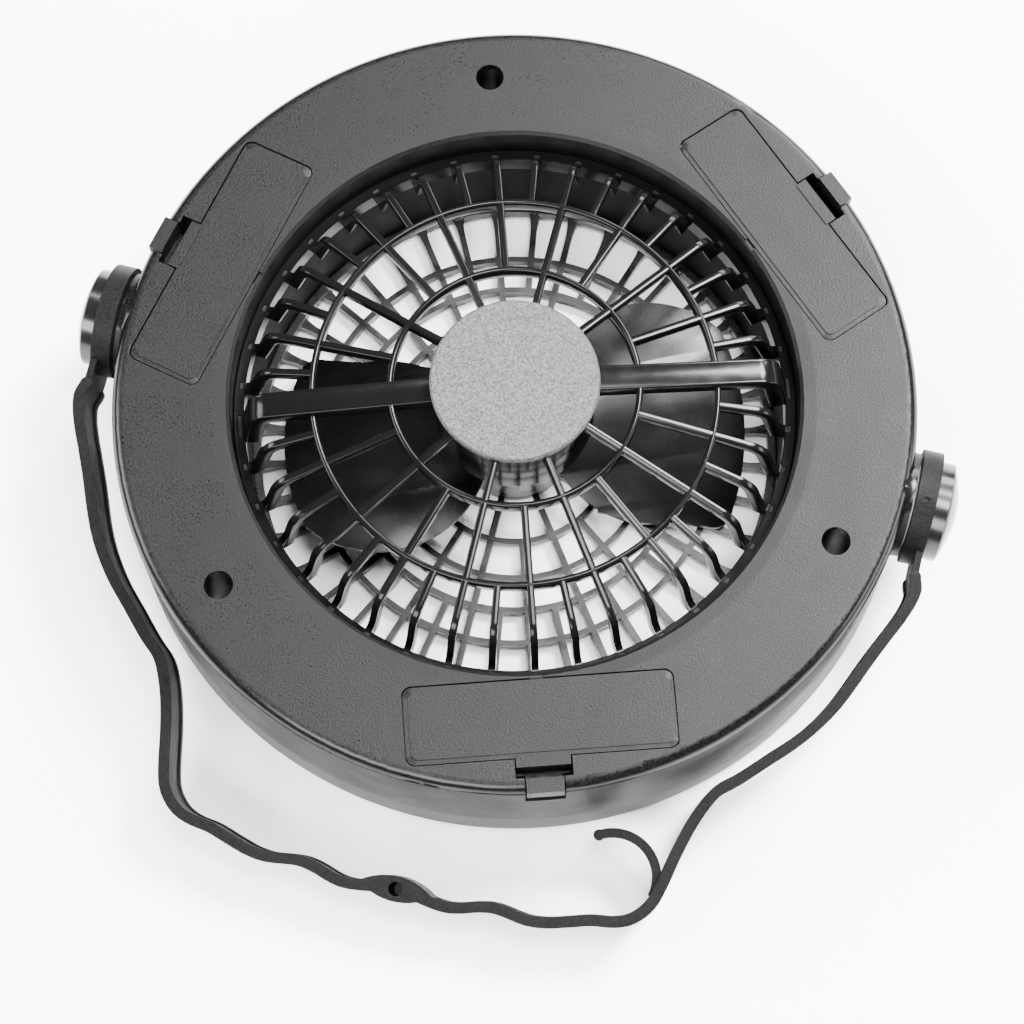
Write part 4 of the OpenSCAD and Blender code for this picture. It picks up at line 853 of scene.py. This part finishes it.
markSizes = {
    "tilt": 9.5,
    "pivotHeight": 29.2,
    "top": 9.0,
    "radius": 0.85,
    "ringWidth": 0.14,
    "ringHeight": 0.1,
    "steps": 28,
    "cordSteps": 8,
    # place along the pivot axis and distance from it, in the bail's own plane
    "places": (
        (-101.87, 27.2), (-92.35, 49.34), (-65.34, 84.53), (-39.25, 116.85), (-16.32, 118.92),
        (12.32, 119.61), (37.93, 117.22), (66.4, 81.98), (80.34, 66.32), (90.71, 52.7),
        (101.23, 28.76)),
}


def makeMarks(s):
    # A raised ring at each place on the bail's edge.
    tilt = math.radians(s["tilt"])
    tree = Tree("bailMarks", {"radius": mm * s["radius"], "ringWidth": mm * s["ringWidth"],
                              "ringHeight": mm * s["ringHeight"], "steps": s["steps"]})
    size = tree.size
    cord = tree.add("GeometryNodeTransform", Geometry=tree.circle(1.0, s["cordSteps"]),
                    Scale=tree.point(size("ringWidth"), size("ringHeight"), 1.0)).outputs[0]
    ring = tree.sweep(tree.circle(size("radius"), size("steps")), cord)
    spots = bpy.data.meshes.new("markSpots")
    spots.from_pydata([(mm * u, -mm * (v * math.cos(tilt) + s["top"] * math.sin(tilt)),
                        mm * (s["pivotHeight"] - v * math.sin(tilt) + s["top"] * math.cos(tilt)))
                       for u, v in s["places"]], [], [])
    holder = linked("markSpots", spots)
    points = tree.add("GeometryNodeObjectInfo", Object=holder).outputs["Geometry"]
    rings = tree.add("GeometryNodeInstanceOnPoints", Points=points, Instance=ring,
                     Rotation=tree.point(tilt, 0.0, 0.0)).outputs[0]
    made = tree.grow("bailMarks", rings, paints["bail"])
    bpy.data.objects.remove(holder)
    return made


marks = makeMarks(markSizes)
outward(marks.data)
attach(marks, "bail")
print("bail marks ready")


# Springs and cells in the battery bays

baySizes = {
    "angles": (48, 168, 288),
    "radius": 79.15,
    "height": 32.0,
    "springStart": -28.7,
    "springLength": 6.7,
    "springWide": 4.4,
    "springNarrow": 2.2,
    "springTurns": 5.5,
    "springSteps": 28,
    "wireRadius": 0.38,
    "wireSteps": 8,
    "cellStart": -21.9,
    "cellLength": 50.5,
    "cellRadius": 7.25,
    "cellSteps": 64,
    "nubRadius": 2.7,
    "nubLength": 1.3,
    # outlines of the sleeve and the can: a corner, and how far out and up from it
    "sleeve": (
        ("neck", 0.6, -0.5), ("neck", 2.6, -0.05), ("shoulder", -0.8, 0),
        ("shoulder", -0.25, -0.15), ("shoulder", 0, -0.7), ("foot", 0, 0.7),
        ("foot", -0.25, 0.12), ("foot", -0.9, 0), ("foot", -1.6, 0.12), ("foot", -1.6, 0.6),
        ("foot", -0.7, 1.0), ("shoulder", -0.7, -1.2), ("neck", 0.6, -1.0)),
    "can": (
        ("base", 0, 0.15), ("foot", -2.6, 0.15), ("foot", -2.0, 0.4), ("foot", -1.2, 0.45),
        ("foot", -1.2, 1.2), ("shoulder", -1.2, -1.4), ("neck", 1.2, -0.7),
        ("neck", 0.15, -0.6), ("neck", 0, -0.3), ("nub", 0, -0.4), ("nub", -0.4, 0),
        ("tip", 0, 0)),
}


def ontoBay(s, angle, along):
    # A place in a battery bay, with its Z axis along the cell.
    return (Matrix.Rotation(math.radians(angle), 4, "Z")
            @ Matrix.Translation((mm * s["radius"], mm * along, mm * s["height"]))
            @ Matrix.Rotation(math.radians(-90), 4, "X"))


def makeSprings(s):
    # A coil that narrows, with a closed ring at its wide end.
    tree = Tree("contactCoils", {
        "turns": s["springTurns"], "wideEnd": mm * s["springWide"],
        "narrowEnd": mm * s["springNarrow"], "wire": mm * s["wireRadius"],
        "length": mm * (s["springLength"] - 2 * s["wireRadius"]),
    })
    size = tree.size
    coil = tree.add("GeometryNodeCurveSpiral", Resolution=s["springSteps"],
                    Rotations=size("turns"), Start_Radius=size("wideEnd"),
                    End_Radius=size("narrowEnd"), Height=size("length")).outputs[0]
    wide = tree.point(size("wideEnd"), size("wideEnd"), 1.0)
    loop = tree.add("GeometryNodeTransform", Geometry=tree.circle(1.0, s["springSteps"]),
                    Scale=wide).outputs[0]
    wire = tree.circle(size("wire"), s["wireSteps"])
    bare = tree.together([tree.sweep(coil, wire), tree.sweep(loop, wire)])
    lifted = tree.moved(bare, tree.point(0.0, 0.0, size("wire")))
    spring = tree.grow("spring", lifted, paints["contact"])
    pieces = []
    for angle in s["angles"]:
        pieces.append(linked("springCopy", spring.data.copy()))
        pieces[-1].matrix_basis = ontoBay(s, angle, s["springStart"])
    bpy.data.objects.remove(spring)
    return joined("springs", pieces)


def makeCells(s):
    r, n, length = s["cellRadius"], s["nubRadius"], s["cellLength"]
    top = length - s["nubLength"]
    corners = {"base": (0, 0), "foot": (r, 0), "shoulder": (r, top), "neck": (n, top),
               "nub": (n, length), "tip": (0, length)}
    pieces = []
    for angle in s["angles"]:
        for label, paint in (("sleeve", "cell"), ("can", "contact")):
            outline = [(corners[at][0] + out, corners[at][1] + up) for at, out, up in s[label]]
            pieces.append(lathe(label, outline, s["cellSteps"], paints[paint]))
            pieces[-1].matrix_basis = ontoBay(s, angle, s["cellStart"])
    return joined("cells", pieces)


springs = makeSprings(baySizes)
cells = makeCells(baySizes)
for piece, node, slot in ((springs, "contact_springs", "contact"),
                          (cells, "battery_cells", "cell")):
    outward(piece.data)
    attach(piece, "housing")
    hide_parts(node)
print("springs and cells ready")


# Soft edges on the carried-over pieces

edgeFinish = {
    "weld": 0.000002,
    "angle": 28,
    "segments": 2,
    "evenWeight": 90,
    "plainSmooth": "fan_rotor",  # curved all over, so it needs no even faces
    # width of the bevel on each node
    "widths": {
        "rear_shell": 0.00025,
        "battery_door_a": 0.00018,
        "battery_door_b": 0.00018,
        "battery_door_c": 0.00018,
        "hub_cap": 0.0002,
        "front_shell": 0.0002,
        "front_grille": 0.0002,
        "handle": 0.0003,
        "pivot_cap_left": 0.00015,
        "pivot_cap_right": 0.00015,
        "fan_rotor": 0.0003,
        "fan_button": 0.0002,
        "lamp_button": 0.0002,
        "motor": 0.0002,
        "housing_screws": 0.0001,
        "pivot_screws": 0.0001,
        "motor_screws": 0.0001,
        "contact_plates": 0.00008,
        "switch_board": 0.0001,
        "lens_ring": 0.0002,
    },
}


def angleSmoothing(limit):
    # Smooths a mesh's faces up to an angle between them.
    tree = bpy.data.node_groups.new("angleSmoothing", "GeometryNodeTree")
    for side in ("INPUT", "OUTPUT"):
        tree.interface.new_socket("Geometry", in_out=side, socket_type="NodeSocketGeometry")
    start = tree.nodes.new("NodeGroupInput")
    end = tree.nodes.new("NodeGroupOutput")
    angle = tree.nodes.new("GeometryNodeInputMeshEdgeAngle")
    sharp = tree.nodes.new("FunctionNodeCompare")
    sharp.operation = "GREATER_THAN"
    sharp.inputs["B"].default_value = math.radians(limit)
    tree.links.new(angle.outputs["Unsigned Angle"], sharp.inputs["A"])
    faces = tree.nodes.new("GeometryNodeSetShadeSmooth")
    edges = tree.nodes.new("GeometryNodeSetShadeSmooth")
    edges.domain = "EDGE"
    edges.inputs["Shade Smooth"].default_value = False
    tree.links.new(start.outputs[0], faces.inputs["Geometry"])
    tree.links.new(faces.outputs["Geometry"], edges.inputs["Geometry"])
    tree.links.new(sharp.outputs["Result"], edges.inputs["Selection"])
    tree.links.new(edges.outputs["Geometry"], end.inputs[0])
    return tree


def softenEdges(s):
    smoothing = angleSmoothing(smoothAngle)
    for name, width in s["widths"].items():
        piece = nodes[name]
        weld = piece.modifiers.new("weld", "WELD")
        weld.merge_threshold = s["weld"]
        bevel = piece.modifiers.new("bevel", "BEVEL")
        bevel.limit_method = "ANGLE"
        bevel.angle_limit = math.radians(s["angle"])
        bevel.width = width
        bevel.segments = s["segments"]
        bevel.use_clamp_overlap = True
        smooth = piece.modifiers.new("smooth", "NODES")
        smooth.node_group = smoothing
        if name != s["plainSmooth"]:
            # Large faces keep their own direction beside a bevel.
            even = piece.modifiers.new("even", "WEIGHTED_NORMAL")
            even.keep_sharp = True
            even.weight = s["evenWeight"]


softenEdges(edgeFinish)
print("edges softened")
